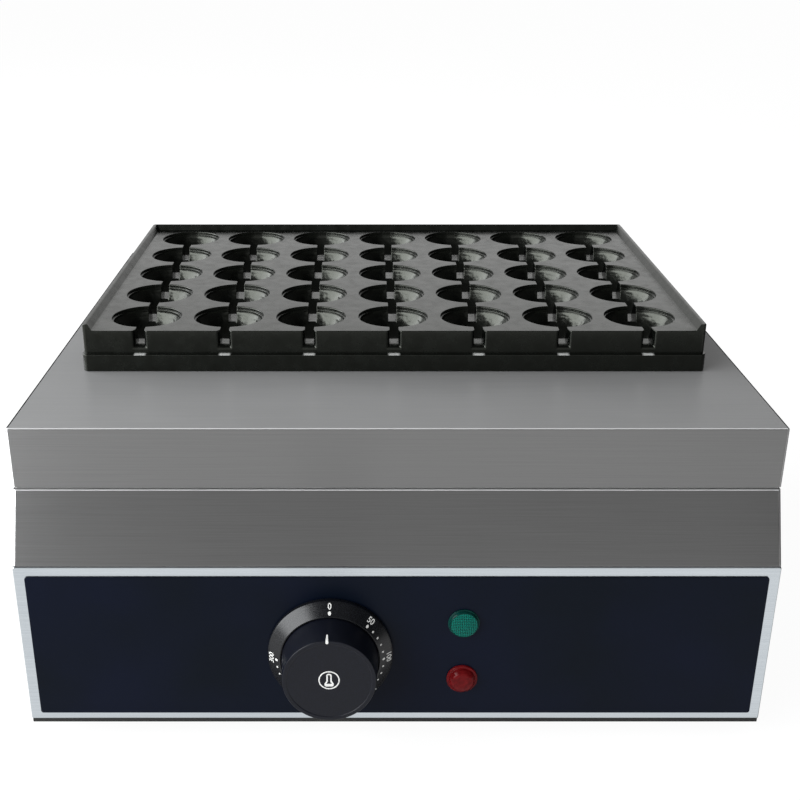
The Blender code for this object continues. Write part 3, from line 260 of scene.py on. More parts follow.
def buildStage():
    # floor: a flat disc, radius r and angle a: (r cos a, r sin a, 0)
    s, fade = stageSettings, {}
    disc = turnedGrid([(radius, 0) for radius in s["floorRings"]], 48)
    floor = bpy.data.objects.new("floor", meshFromGrids("floor", [flipped(disc)]))
    bpy.context.scene.collection.objects.link(floor)
    material, tree, shader = baseMaterial("matt white studio floor", s["floorColour"], s["floorRoughness"],
                                          Specular_IOR_Level=0.0)
    path = addNode(tree, "LightPath")
    place = addNode(tree, "TexCoord")
    axes = addNode(tree, "SeparateXYZ", None, {0: (place, "Object")})
    for name, (axis, start, end, before, after) in floorFades.items():
        fade[name] = addNode(tree, "MapRange", {"interpolation_type": "SMOOTHSTEP", "From Min": start, "From Max": end,
                                                "To Min": before, "To Max": after}, {0: (axes, axis)})
    # painted shade: mirrored rays see the floor dark along the object's front foot
    foot = addNode(tree, "Math", {"operation": "MULTIPLY"}, {0: fade["footShadeFront"], 1: fade["footShadeSide"]})
    card = addNode(tree, "Mix", {"data_type": "FLOAT", 3: s["footShadeLevel"]}, {0: foot, 2: fade["card"]})
    level = addNode(tree, "Mix", {"data_type": "FLOAT", 2: s["floorWhite"]}, {0: (path, "Is Glossy Ray"), 3: card})
    light = addNode(tree, "Emission", None, {"Strength": level})
    direct = addNode(tree, "Math", {"operation": "MULTIPLY", 1: s["floorShare"]}, {0: (path, "Is Camera Ray")})
    share = addNode(tree, "Math", {"operation": "ADD", "use_clamp": True}, {0: direct, 1: (path, "Is Glossy Ray")})
    mix = addNode(tree, "MixShader", None, {0: share, 1: shader, 2: light})
    tree.links.new(mix.outputs[0], tree.nodes["Material Output"].inputs["Surface"])
    floor.data.materials.append(material)


def buildWorld():
    # glossy rays see a white backdrop low at the back, a grey room behind the camera and a darker ceiling
    world, fade = bpy.data.worlds.new("studio"), {}
    bpy.context.scene.world = world
    world.use_nodes = True
    tree = world.node_tree
    tree.nodes.clear()
    path = addNode(tree, "LightPath")
    way = addNode(tree, "TexCoord")
    axes = addNode(tree, "SeparateXYZ", None, {0: (way, "Generated")})
    aside = addNode(tree, "Math", {"operation": "ABSOLUTE"}, {0: (axes, "X")})
    sources = {"X": (axes, "X"), "Y": (axes, "Y"), "Z": (axes, "Z"), "side": aside}
    for name, (axis, start, end, before, after) in worldFades.items():
        fade[name] = addNode(tree, "MapRange", {"interpolation_type": "SMOOTHSTEP", "From Min": start, "From Max": end,
                                                "To Min": before, "To Max": after}, {0: sources[axis]})
    backdrop = fade["low"]
    for name in ("raised", "behind", "narrow"):
        backdrop = addNode(tree, "Math", {"operation": "MULTIPLY"}, {0: backdrop, 1: fade[name]})
    sides = addNode(tree, "Math", {"operation": "MULTIPLY"}, {0: fade["room"], 1: fade["right"]})
    seen = addNode(tree, "Mix", {"data_type": "FLOAT", 3: 1.0}, {0: backdrop, 2: sides})
    glossy = addNode(tree, "Mix", {"data_type": "FLOAT", 2: stageSettings["diffuseLevel"]},
                     {0: (path, "Is Glossy Ray"), 3: seen})
    straight = addNode(tree, "Math", {"operation": "MAXIMUM"},
                       {0: (path, "Is Camera Ray"), 1: (path, "Is Transmission Ray")})
    level = addNode(tree, "Mix", {"data_type": "FLOAT", 3: 1.0}, {0: straight, 2: glossy})
    background = addNode(tree, "Background", {"Color": (1, 1, 1, 1)}, {"Strength": level})
    addNode(tree, "OutputWorld", None, {"Surface": background})


lampSettings = [
    {"name": "softboxLeft", "place": (-1.896, -0.388, 0.987), "aim": (0.0, 0.05, 0.20), "size": (4.3, 1.6),
     "watts": 131, "colour": (0.96, 0.98, 1.0)},
]


def buildLamps():
    for lamp in lampSettings:
        data = bpy.data.lights.new(lamp["name"], "AREA")
        data.shape = "RECTANGLE"
        data.size, data.size_y = lamp["size"]
        data.energy, data.color = lamp["watts"], lamp["colour"]
        obj = bpy.data.objects.new(lamp["name"], data)
        bpy.context.scene.collection.objects.link(obj)
        way = np.array(lamp["aim"]) - np.array(lamp["place"])
        obj.location = lamp["place"]
        obj.rotation_euler = (math.atan2(math.hypot(way[0], way[1]), -way[2]), 0, math.atan2(-way[0], way[1]))


buildStage()
buildWorld()
buildLamps()
print("stage: floor, world and %d lamps" % len(lampSettings))


def patternAt(tree, stretch=(1, 1, 1), centre=(0, 0, 0)):
    # Object coordinates, in metres, about a centre in mm, scaled along each axis
    place = addNode(tree, "TexCoord")
    start = tuple(-c * mm * s for c, s in zip(centre, stretch))
    return addNode(tree, "Mapping", {"Scale": stretch, "Location": start}, {0: (place, "Object")})


def tint(tree, shader, factor, darker, lighter, low=0.35, high=0.65):
    # base colour between two hex colours by a pattern's value
    ramp = addNode(tree, "MapRange", {"From Min": low, "From Max": high}, {0: factor})
    mix = addNode(tree, "Mix", {"data_type": "RGBA", 6: linearColour(darker), 7: linearColour(lighter)}, {0: ramp})
    tree.links.new(mix.outputs[2], shader.inputs["Base Color"])
    return mix


def ripple(tree, shader, height, distance, strength=1.0, before=None):
    # bump from a pattern's value; distance is the real height in metres
    bump = addNode(tree, "Bump", {"Distance": distance, "Strength": strength}, {"Height": height})
    if before:
        tree.links.new(before.outputs[0], bump.inputs["Normal"])
    tree.links.new(bump.outputs[0], shader.inputs["Normal"])
    return bump


def roughnessBetween(tree, shader, factor, low, high):  # gloss between two values by a pattern's value
    spread = addNode(tree, "MapRange", {"From Min": 0.3, "From Max": 0.7, "To Min": low, "To Max": high},
                     {0: factor})
    tree.links.new(spread.outputs[0], shader.inputs["Roughness"])


sheetSettings = {
    "along": 16, "across": 3300,  # hair lines to the metre: 60 mm long and 0.3 mm apart
    "patches": 9.0,  # soft patches 110 mm across, from rolling and handling
    # the last colour here is painted shade for the folds along the sides' tops
    "anisotropic": 0.95, "hairDepth": 0.00002, "frontFoldMetal": 0.35, "foldShadeColour": "#0e0e0e",
}


def brushedSheet(name, darker, lighter, roughness, sideGrain="z", paintedHighlight=None, litTop=None):
    # stainless sheet brushed with a grit belt: hair lines along X on the faces and along `sideGrain` on the two ends,
    # so that mirrored light is smeared across them. The colour given for the folds is a painted highlight along the
    # front and up the upright corners; the folds along the sides' tops get painted shade instead. The last argument
    # makes the top lighter with painted light, as (gain of its colour, added roughness, metallic)
    s = sheetSettings
    material, tree, shader = baseMaterial(name, lighter, roughness, 1.0, Anisotropic=s["anisotropic"])
    normal = addNode(tree, "NewGeometry")
    size = addNode(tree, "VectorMath", {"operation": "ABSOLUTE"}, {0: (normal, "Normal")})
    axes = addNode(tree, "SeparateXYZ", None, {0: size})
    onEnd = addNode(tree, "Math", {"operation": "GREATER_THAN", 1: 0.75}, {0: (axes, "X")})
    hair = []
    for grainAxis in ("x", sideGrain):
        stretch = tuple(s["along"] if axis == grainAxis else s["across"] for axis in "xyz")
        hair.append(addNode(tree, "TexNoise", {"Scale": 1.0, "Detail": 2.0, "Roughness": 0.6},
                            {0: patternAt(tree, stretch)}))
    lines = addNode(tree, "Mix", {"data_type": "FLOAT"}, {0: onEnd, 2: hair[0], 3: hair[1]})
    broad = addNode(tree, "TexNoise", {"Scale": s["patches"], "Detail": 3.0}, {0: patternAt(tree)})
    both = addNode(tree, "Mix", {"data_type": "FLOAT", 0: 0.35}, {2: lines, 3: broad})
    colour = tint(tree, shader, both, darker, lighter, 0.38, 0.62)
    roughnessBetween(tree, shader, both, roughness - 0.04, roughness + 0.06)
    ripple(tree, shader, lines, s["hairDepth"], 0.2)
    endWay = tuple(float(axis == sideGrain) for axis in "xyz")
    grain = addNode(tree, "Mix", {"data_type": "VECTOR", 4: (1, 0, 0), 5: endWay}, {0: onEnd})
    across = addNode(tree, "VectorMath", {"operation": "CROSS_PRODUCT"}, {0: (normal, "Normal"), 1: (grain, 1)})
    tree.links.new(across.outputs[0], shader.inputs["Tangent"])
    if not paintedHighlight:
        return material
    metal = addNode(tree, "Value")
    metal.outputs[0].default_value = 1.0
    # painted light: the top's colour is multiplied by a gain so the upward faces look lighter; its roughness and
    # metallic change too
    if litTop:
        paintedLightGain, dulled, topMetal = litTop
        onTop = addNode(tree, "Math", {"operation": "GREATER_THAN", 1: 0.75}, {0: (axes, "Z")})
        colour = addNode(tree, "Mix", {"data_type": "RGBA", "blend_type": "MULTIPLY", 7: (paintedLightGain, paintedLightGain, paintedLightGain, 1)},
                         {0: onTop, 6: (colour, 2)})
        gloss = shader.inputs["Roughness"].links[0].from_node
        dull = addNode(tree, "Math", {"operation": "MULTIPLY_ADD", 1: dulled}, {0: onTop, 2: gloss})
        metal = addNode(tree, "MapRange", {"To Min": 1.0, "To Max": topMetal}, {0: onTop})
        tree.links.new(dull.outputs[0], shader.inputs["Roughness"])
    # 1 - max(|x|, |y|, |z|) of the normal is 0 on the faces and 0.29 half way round a fold
    high = addNode(tree, "Math", {"operation": "MAXIMUM"}, {0: (axes, "X"), 1: (axes, "Y")})
    highest = addNode(tree, "Math", {"operation": "MAXIMUM"}, {0: high, 1: (axes, "Z")})
    fold = addNode(tree, "MapRange", {"From Min": 0.88, "From Max": 0.80}, {0: highest})
    sideFold = addNode(tree, "Math", {"operation": "COMPARE", 1: 0.56, 2: 0.4}, {0: (axes, "X")})  # |x| of 0.16 to 0.96
    anyFold = addNode(tree, "Math", {"operation": "MAXIMUM"}, {0: fold, 1: sideFold})
    # painted highlight: the folds along the front and up the upright corners get the light fold colour
    colour = addNode(tree, "Mix", {"data_type": "RGBA", 7: linearColour(paintedHighlight)}, {0: anyFold, 6: (colour, 2)})
    frontHighlight = addNode(tree, "Math", {"operation": "SUBTRACT", "use_clamp": True}, {0: fold, 1: sideFold})
    metal = addNode(tree, "Mix", {"data_type": "FLOAT", 3: s["frontFoldMetal"]}, {0: frontHighlight, 2: metal})
    # painted shade: the folds between the top and the sides get a near black colour
    sideways = addNode(tree, "Math", {"operation": "LESS_THAN", 1: 0.5}, {0: (axes, "Y")})
    topSideFoldShade = addNode(tree, "Math", {"operation": "MULTIPLY"}, {0: sideFold, 1: sideways})
    colour = addNode(tree, "Mix", {"data_type": "RGBA", 7: linearColour(s["foldShadeColour"])},
                     {0: topSideFoldShade, 6: (colour, 2)})
    tree.links.new(colour.outputs[2], shader.inputs["Base Color"])
    tree.links.new(metal.outputs[0], shader.inputs["Metallic"])
    return material


def speckled(name, darker, lighter, roughness, metallic=0.0, grain=2.0, depth=0.00002, spread=0.06, **sockets):
    # moulded, cast or plated surface: colour and gloss vary with a noise `grain` mm across
    material, tree, shader = baseMaterial(name, lighter, roughness, metallic, **sockets)
    noise = addNode(tree, "TexNoise", {"Scale": 1000 / grain, "Detail": 3.0, "Roughness": 0.55},
                    {0: patternAt(tree)})
    tint(tree, shader, noise, darker, lighter)
    roughnessBetween(tree, shader, noise, roughness - spread, roughness + spread)
    ripple(tree, shader, noise, depth, 0.5)
    return material


# painted highlight: the folds of hood and body get #ededed
# painted light: the hood's top colour is raised by a gain of 1.13
steelHood = brushedSheet("brushed stainless steel hood", "#929292", "#9c9c9c", 0.38, "z", "#ededed", (1.13, 0.05, 0.35))
steelBody = brushedSheet("brushed stainless steel body", "#8b8b8b", "#969696", 0.36, "y", "#ededed")
silverPanel = brushedSheet("satin silver stainless steel", "#c8cfd5", "#d6dde2", 0.15, "y")
steelRear = brushedSheet("brushed stainless steel rear", "#868686", "#979797", 0.38, "y")
# painted shade: a near black matt material for the folds along the hood's side tops
shadeMarkMaterial = speckled("steel with painted shade along the fold", "#101010", "#1a1a1a", 0.7, Specular_IOR_Level=0.0)
phenolic = speckled("satin black phenolic", "#0a0b0e", "#101217", 0.27, grain=0.8, depth=0.000003,
                    Specular_IOR_Level=0.46)


phenolicHandled = speckled("satin black phenolic dulled by hands", "#090b12", "#10131e", 0.38, grain=0.8,
                           depth=0.000006, Specular_IOR_Level=0.25)


nylonBlack = speckled("black nylon", "#1a1a1b", "#242425", 0.5, grain=0.6)
rubber = speckled("black rubber", "#1b1b1b", "#262625", 0.75, grain=1.2, depth=0.00003)
zinc = speckled("zinc plated steel", "#a9adb3", "#c2c5c9", 0.32, 1.0, grain=3.0)
steatite = speckled("white steatite ceramic", "#d9d4c6", "#e9e5da", 0.55, grain=1.0)
nylonWhite = speckled("white nylon", "#dcdad2", "#ebe9e2", 0.45)
sheath = speckled("oxidised element sheath", "#4b4f4a", "#666a62", 0.5, 0.8, grain=5.0, spread=0.1)
fibreBoard = speckled("ceramic fibre board", "#cfc9ba", "#e2ddd1", 0.95, grain=1.6, depth=0.0002)
aluminised = speckled("aluminised steel", "#b3b3ae", "#cacac5", 0.42, 1.0, grain=7.0)
copperDrawn = speckled("drawn copper", "#a86a48", "#c4835c", 0.32, 1.0, grain=4.0)
brass = speckled("brass", "#a88a4a", "#c6a55e", 0.3, 1.0, grain=3.0)
redSleeve = speckled("red silicone sleeve", "#8c1a18", "#a3211e", 0.5, grain=1.5)
blueSleeve = speckled("blue silicone sleeve", "#1c3a86", "#24489c", 0.5, grain=1.5)
whitePrint = speckled("white pad print", "#d9d9d6", "#efefec", 0.5, grain=0.5, depth=0.000004)


def galvanisedMaterial():
    # hot dip galvanised sheet: zinc spangles 9 mm across, each at its own grey
    material, tree, shader = baseMaterial("galvanised steel", "#9a9ea2", 0.42, 1.0)
    cells = addNode(tree, "TexVoronoi", {"feature": "F1", "Scale": 110.0}, {0: patternAt(tree)})
    grey = addNode(tree, "RGBToBW", None, {0: (cells, "Color")})
    tint(tree, shader, grey, "#85898d", "#a9adb1", 0.2, 0.8)
    roughnessBetween(tree, shader, grey, 0.36, 0.5)
    return material


def earthSleeveMaterial():
    # green sleeve with a yellow stripe 3 mm wide each 9 mm along the wire
    material, tree, shader = baseMaterial("green and yellow sleeve", "#3f7a2a", 0.5)
    wave = addNode(tree, "TexWave", {"Scale": 55.0, "bands_direction": "DIAGONAL"}, {0: patternAt(tree)})
    tint(tree, shader, wave, "#2f7031", "#c9b92f", 0.6, 0.7)
    return material


def overlayMaterial():
    # screen printed polyester film: navy black ink seen through a glossy clear face, with a haze 70 mm across
    material, tree, shader = baseMaterial("printed black overlay", "#10131c", 0.3, Specular_IOR_Level=0.1)
    soft = addNode(tree, "TexNoise", {"Scale": 14.0, "Detail": 2.0}, {0: patternAt(tree)})
    tint(tree, shader, soft, "#050c17", "#070e1f")
    return material


def lensMaterial(name, dark, bright, prisms=None, centre=None):
    # tinted polycarbonate: dark where thick, lighter along the grooves between the prisms, glossy face
    material, tree, shader = baseMaterial(name, dark, 0.14, Specular_IOR_Level=0.1)
    if prisms:  # the grooves run along X and Z at the moulded pitch: |sin| of both, the larger one
        axes = addNode(tree, "SeparateXYZ", None, {0: patternAt(tree, (math.pi * 1000 / prisms,) * 3, centre)})
        waves = []
        for axis in "XZ":
            sine = addNode(tree, "Math", {"operation": "SINE"}, {0: (axes, axis)})
            waves.append(addNode(tree, "Math", {"operation": "ABSOLUTE"}, {0: sine}))
        crest = addNode(tree, "Math", {"operation": "MAXIMUM"}, {0: waves[0], 1: waves[1]})
        tint(tree, shader, crest, dark, bright, 0.84, 1.0)
    else:  # flow marks 3 mm across
        noise = addNode(tree, "TexNoise", {"Scale": 350.0, "Detail": 2.0}, {0: patternAt(tree)})
        tint(tree, shader, noise, dark, bright)
    return material


galvanised = galvanisedMaterial()
earthSleeve = earthSleeveMaterial()
overlayFilm = overlayMaterial()
print("materials: %d" % len(bpy.data.materials))


plateSettings = {
    "planeHeight": 228.2, "rimRise": 4.5, "front": -88.2, "back": 193.8, "halfWidth": 199.8,
    "pitch": 54.5, "columns": 7, "rows": 5, "firstRow": 32.0,
    "sphereRadius": 23.3, "sphereRise": 4.3,
    "channelHalf": 2.8, "channelDepth": 9.5, "edgeRound": 0.5,
    "mouthHalf": 5.25, "mouthDepth": 12.5, "mouthFlare": 4.6, "lipLength": 6.3, "spoutRound": 1.1,
    "stepDepth": 14.9, "bandReach": 3.0, "sideShare": 0.4, "seatDepth": 26.2, "bossDepth": 31.4,
    "cornerRadius": 2.0, "rimFoot": 9.05, "rimSlope": (3.5, 6.7), "backLand": 24.8,
    # casting marks and a painted highlight, as depths below the plane and distances behind the front, in mm
    "hollowsFrom": 3.7, "hollowsFull": 6.2, "hollowsBehind": 2.2, "dashHighlightDepth": 15.1, "dashHighlightBehind": 0.3,
    "dashHighlightHalf": 4.2, "dashHighlightBright": 2.6, "dashHighlightColour": "#b4b5b3",
}
# the cup's wall from the bowl out: a turned step inside the rim and a rounded edge, as (radius, height) below the plane
cupWall = [
    (21.75, None), (21.88, -2.35), (22.02, -2.05), (22.30, -1.92), (22.76, -1.86), (22.87, -1.75),
    (22.90, -0.62), (22.96, -0.36), (23.12, -0.15), (23.30, -0.04), (23.55, 0.0),
]


def coatingMaterial():
    # cast aluminium with a sprayed fluoropolymer coat: near black, half gloss, with orange peel 0.7 mm across, cleaning
    # clouds of 8 mm and, in the cups, the sand core's hollows of 4 mm; under each mouth a short light grey dash on the
    # step's edge is a painted highlight
    s = plateSettings
    material, tree, shader = baseMaterial("black non-stick coating", "#101112", 0.26,
                                          Specular_Tint=(0.96, 1.0, 0.88, 1))
    peel = addNode(tree, "TexNoise", {"Scale": 1400.0, "Detail": 2.0}, {0: patternAt(tree)})
    cloud = addNode(tree, "TexNoise", {"Scale": 130.0, "Detail": 3.0, "Roughness": 0.6}, {0: patternAt(tree)})
    colour = tint(tree, shader, cloud, "#020302", "#050706")
    roughnessBetween(tree, shader, cloud, 0.2, 0.31)
    dents = addNode(tree, "TexNoise", {"Scale": 240.0, "Detail": 1.0}, {0: patternAt(tree)})
    axes = addNode(tree, "SeparateXYZ", None, {0: patternAt(tree, (1000, 1000, 1000))})  # in mm
    deep = addNode(tree, "MapRange", {"From Min": s["planeHeight"] - s["hollowsFrom"],
                                      "From Max": s["planeHeight"] - s["hollowsFull"]}, {0: (axes, "Z")})
    inside = addNode(tree, "Math", {"operation": "GREATER_THAN", 1: s["front"] + s["hollowsBehind"]}, {0: (axes, "Y")})
    inCup = addNode(tree, "Math", {"operation": "MULTIPLY"}, {0: deep, 1: inside})
    hollow = addNode(tree, "Math", {"operation": "MULTIPLY"}, {0: dents, 1: inCup})
    ripple(tree, shader, peel, 0.00003, 0.4, ripple(tree, shader, hollow, 0.0006, 0.6))
    # painted highlight: a light grey dash on the step's edge under each mouth
    column = addNode(tree, "Math", {"operation": "PINGPONG", 1: s["pitch"] / 2}, {0: (axes, "X")})  # mm to its middle
    near = addNode(tree, "MapRange", {"From Min": s["dashHighlightHalf"], "From Max": s["dashHighlightBright"]}, {0: column})
    level = addNode(tree, "Math", {"operation": "COMPARE", 1: s["planeHeight"] - s["dashHighlightDepth"], 2: 0.3},
                    {0: (axes, "Z")})
    ahead = addNode(tree, "Math", {"operation": "LESS_THAN", 1: s["front"] + s["dashHighlightBehind"]}, {0: (axes, "Y")})
    both = addNode(tree, "Math", {"operation": "MULTIPLY"}, {0: near, 1: level})
    dashMask = addNode(tree, "Math", {"operation": "MULTIPLY"}, {0: both, 1: ahead})
    paintedDash = addNode(tree, "Mix", {"data_type": "RGBA", 7: linearColour(s["dashHighlightColour"])}, {0: dashMask, 6: (colour, 2)})
    tree.links.new(paintedDash.outputs[2], shader.inputs["Base Color"])
    return material


def cupSurface():  # heights over the radius: sphere inside, then the wall's own points
    s = plateSettings
    inner = np.linspace(0, cupWall[0][0], 60)
    bowl = s["sphereRise"] - np.sqrt(s["sphereRadius"] ** 2 - inner ** 2)
    outer = np.array(cupWall[1:])
    return np.concatenate([inner, outer[:, 0]]), np.concatenate([bowl, outer[:, 1]])


def edgeDrop(offset):  # a quarter circle: e - sqrt(e^2 - (e - offset)^2) within e of an edge
    e = plateSettings["edgeRound"]
    left = np.clip(e - offset, 0, e)
    return e - np.sqrt(e ** 2 - left ** 2)


def topHeight(x, y, radii, heights, openBack):
    # the cup's turned profile, rounded down along the channel's edge where the channel's wall is
    s = plateSettings
    z = np.interp(np.hypot(x, y), radii, heights)
    fade = np.clip((z + s["channelDepth"]) / (2 * s["edgeRound"]), 0, 1)
    if not openBack:
        fade = fade * (y < 0)
    return z - edgeDrop(x - s["channelHalf"]) * fade


def tileGrids(front, back, openBack):
    # one cup's square of the plate, about the cup's centre: half a bowl, half its land, channel walls and floor
    s = plateSettings
    radii, heights = cupSurface()
    w, e, reach, edge = s["channelHalf"], s["edgeRound"], s["pitch"] / 2, cupWall[-1][0]
    floorRadius = math.sqrt(s["sphereRadius"] ** 2 - (s["channelDepth"] + s["sphereRise"]) ** 2)
    nearEdge = np.array([w, w + 0.07, w + 0.25, w + e, w + 1.3])
    level = np.array([floorRadius, 20.4, 21.3] + [r for r, _ in cupWall[:-1]])
    special = np.concatenate([np.sqrt(level ** 2 - w ** 2), np.sqrt(edge ** 2 - nearEdge ** 2)])
    base = edge * np.sin(np.linspace(0, math.acos(w / edge), 15))[:-1]
    base = base[np.abs(base[:, None] - special[None, :]).min(1) > 0.5]
    half = np.sort(np.concatenate([base, special]))
    y = np.concatenate([-half[::-1], half[1:]])[:, None]  # rows, front to back; the middle row is y = 0
    arcX = np.sqrt(edge ** 2 - y ** 2)
    start = np.sqrt(np.clip(cupWall[0][0] ** 2 - y ** 2, 0, None))
    share = np.array([0.12, 0.35, 0.62, 0.84])[None, :]
    middle = (w + e) + (start - w - e) * share
    rings = np.sqrt(np.clip(np.array([r for r, _ in cupWall])[None, :] ** 2 - y ** 2, 0, None))
    x = np.concatenate([0 * y + nearEdge[None, :4], middle, rings], axis=1)
    x = np.sort(np.clip(x, w, arcX), axis=1)
    bowl = np.stack([x, y + 0 * x, topHeight(x, y, radii, heights, openBack)], axis=2)
    # land: lines from the cup's edge to the square's side, along rays from (w, 0)
    px, py = arcX[:, 0] - w, y[:, 0]
    limit = np.where(py < 0, -front, back)
    scale = np.minimum((reach - w) / np.maximum(px, 1e-9), limit / np.maximum(np.abs(py), 1e-9))
    outer = np.stack([w + px * scale, py * scale], axis=1)
    for corner in ((reach, front), (reach, back)):
        outer[np.argmin(np.hypot(*(outer - np.array(corner)).T))] = corner
    inner = np.stack([arcX[:, 0], py], axis=1)
    t = np.array([0, 0.45, 1.0])[None, :, None]
    plan = inner[:, None, :] * (1 - t) + outer[:, None, :] * t
    openSide = 1.0 if openBack else (plan[:, :, 1] < 0)
    land = np.concatenate([plan, -(edgeDrop(plan[:, :, 0] - w) * openSide)[:, :, None]], axis=2)
    # channel walls: straight down from the top edge at x = w to the floor
    grids, floor = [], -s["channelDepth"]
    side = np.concatenate([land[0, ::-1], bowl[1:-1, 0], land[-1]])
    opens = math.sqrt(floorRadius ** 2 - w ** 2) - 1e-6  # the channel is cut from this far in front of the cup's centre
    runs = [side[side[:, 1] <= -opens]]
    if openBack:
        runs.append(side[side[:, 1] >= opens])
    for run in runs:
        t = np.array([0, 0.5, 1.0])[None, :]
        z = run[:, 2:3] * (1 - t) + floor * t
        grids.append(flipped(np.stack([run[:, 0:1] + 0 * t, run[:, 1:2] + 0 * t, z], axis=2)))
    # strip between the walls: bowl bottom in the middle, flat channel floor beyond, rows that follow the cup's circles
    across = np.linspace(-w, w, 5)[None, :]
    rows = side[:, 1:2]
    bend = np.sign(rows) * (np.sqrt(rows ** 2 + w ** 2 - across ** 2) - np.abs(rows))
    bend = bend * np.clip(np.abs(rows) / 10, 0, 1) * (np.abs(rows) < limit.max())
    ends = (rows <= front + 1e-6) | (rows >= back - 1e-6)
    stripY = rows + np.where(ends, 0, bend)
    bottom = np.interp(np.hypot(across, stripY), radii, heights)
    channel = np.minimum(bottom, floor)
    cutHere = (stripY < 0) | openBack
    stripZ = np.where(cutHere & (np.abs(rows) >= opens), floor, np.where(cutHere, channel, bottom))
    strip = np.stack([across + 0 * stripY, stripY, stripZ], axis=2)
    return bothSides([flipped(g) for g in (bowl, land, *grids)]) + [flipped(strip)], outer


def quarterFlare(rows, length):  # 1 at the front face, falling to 0 over `length` as a quarter ellipse
    t = np.clip(1 - rows / length, 0, 1)
    return 1 - np.sqrt(1 - t ** 2)


def lipGrids(samples):
    # the plate's front edge for one column: land with a rounded front, the spout's walls and floor, and the front face
    s = plateSettings
    w, reach, step = s["channelHalf"], s["pitch"] / 2, s["stepDepth"]
    rows = np.array([s["lipLength"], 5.4, 4.6, 3.8, 3.0, 2.2, 1.5, 1.0, 0.6, 0.5, 0.25, 0.07, 0.0])[:, None]
    flare = quarterFlare(rows, s["mouthFlare"])
    half = w + (s["mouthHalf"] - w) * flare
    depth = s["channelDepth"] + (s["mouthDepth"] - s["channelDepth"]) * flare
    share = (samples[None, :] - w) / (reach - w)
    x = half + share * (reach - half)
    z = -edgeDrop(samples[None, :] - w) - edgeDrop(rows)
    land = np.stack([x, rows + 0 * x, z], axis=2)
    # spout: wall points from the land's edge down, then the floor to the middle, bottom corners rounded
    down = np.array([0, 0.3, 0.6, 0.85])[None, :]
    wallTop = z[:, :1]
    rounding = s["spoutRound"] * flare + 0.15
    wallX = half + 0 * down
    wallZ = wallTop + (-depth + rounding - wallTop) * down / down.max()
    turn = np.radians(np.array([30, 60, 90]))[None, :]
    cornerX = half - rounding + rounding * np.cos(turn)
    cornerZ = -depth + rounding - rounding * np.sin(turn)
    floorX = (half - rounding) * np.array([0.5, 0.0])[None, :]
    sectionX = np.concatenate([wallX, cornerX, floorX], axis=1)
    sectionZ = np.concatenate([wallZ, cornerZ, -depth + 0 * floorX], axis=1)
    sectionX[0] = [w] * 7 + [w / 2, 0]  # the first section has the channel's own points
    sectionZ[0] = [wallTop[0, 0]] + [(wallTop[0, 0] - s["channelDepth"]) / 2] * 2 + [-s["channelDepth"]] * 6
    spout = np.stack([sectionX, rows + 0 * sectionX, sectionZ], axis=2)
    # front face: from the spout's outline to the column's border
    outline = spout[-1][:, [0, 2]]
    count = len(outline)
    border = np.zeros((count, 2))
    border[:4, 0], border[4:, 0] = reach, reach * np.array([1.0, 0.75, 0.5, 0.25, 0.0])[:count - 4]
    border[:4, 1] = np.linspace(z[-1, -1], -step * 0.7, 4)
    border[4:, 1] = -step
    t = share[0][None, :, None]
    plan = outline[:, None, :] * (1 - t) + border[:, None, :] * t
    face = np.stack([plan[:, :, 0], 0 * plan[:, :, 0], plan[:, :, 1]], axis=2)
    face[0] = land[-1]
    return bothSides([land, flipped(spout), face]), border[4:, 0], rows[:, 0]


def rimGrids(sideRows, backColumns):
    # the raised rim: a profile carried from the front right corner round the back to the front left one
    s = plateSettings
    x1, y1 = s["halfWidth"] - s["rimFoot"], s["firstRow"] + (s["rows"] - 1) * s["pitch"] + s["backLand"]
    hw, depth, r = s["halfWidth"], s["back"] - s["front"], s["cornerRadius"]
    frontArc = arcPoints((hw - r, r), r, -90, 0, 6)
    backArc = arcPoints((hw - r, depth - r), r, 0, 90, 6)
    sideOut = np.where(sideRows < s["lipLength"], r + sideRows * (s["lipLength"] - r) / s["lipLength"], sideRows)
    sideOut = np.where(sideRows > y1 - 10, y1 - 10 + (sideRows - y1 + 10) * (depth - r - y1 + 10) / 10, sideOut)
    backOut = backColumns * (hw - r) / x1
    inner = np.concatenate([np.tile((x1, 0), (6, 1)), np.stack([x1 + 0 * sideRows, sideRows], 1),
                            np.tile((x1, y1), (6, 1)), np.stack([backColumns, y1 + 0 * backColumns], 1)])
    outer = np.concatenate([frontArc[:-1], np.stack([hw + 0 * sideOut, sideOut], 1), backArc[1:],
                            np.stack([backOut, depth + 0 * backOut], 1)])
    foot, h, step = s["rimFoot"], s["rimRise"], s["stepDepth"]
    slopeStart, slopeEnd = s["rimSlope"]
    profile = filletLine([(0, 0), (slopeStart, 0), (slopeEnd, h), (foot, h), (foot, -step)], [0.8, 1.1, 0.8])
    t = (profile[:, 0] / foot)[None, :, None]
    plan = inner[:, None, :] * (1 - t) + outer[:, None, :] * t
    grid = np.concatenate([plan, np.broadcast_to(profile[None, :, 1:2], (*plan.shape[:2], 1))], axis=2)
    grid[:, 0, 2] -= edgeDrop(inner[:, 1])  # the land's rounded front edge
    top = -edgeDrop(0)
    levels = (np.append(np.linspace(top, -step * 0.7, 4), -step) - top) / (-step - top)
    base = grid[0] * np.array([1, 1, 0]) + np.array([0, 0, -step])
    cap = grid[0][None] * (1 - levels[:, None, None]) + base[None] * levels[:, None, None]
    return [flipped(grid), cap], outer, grid[0, :, 0]


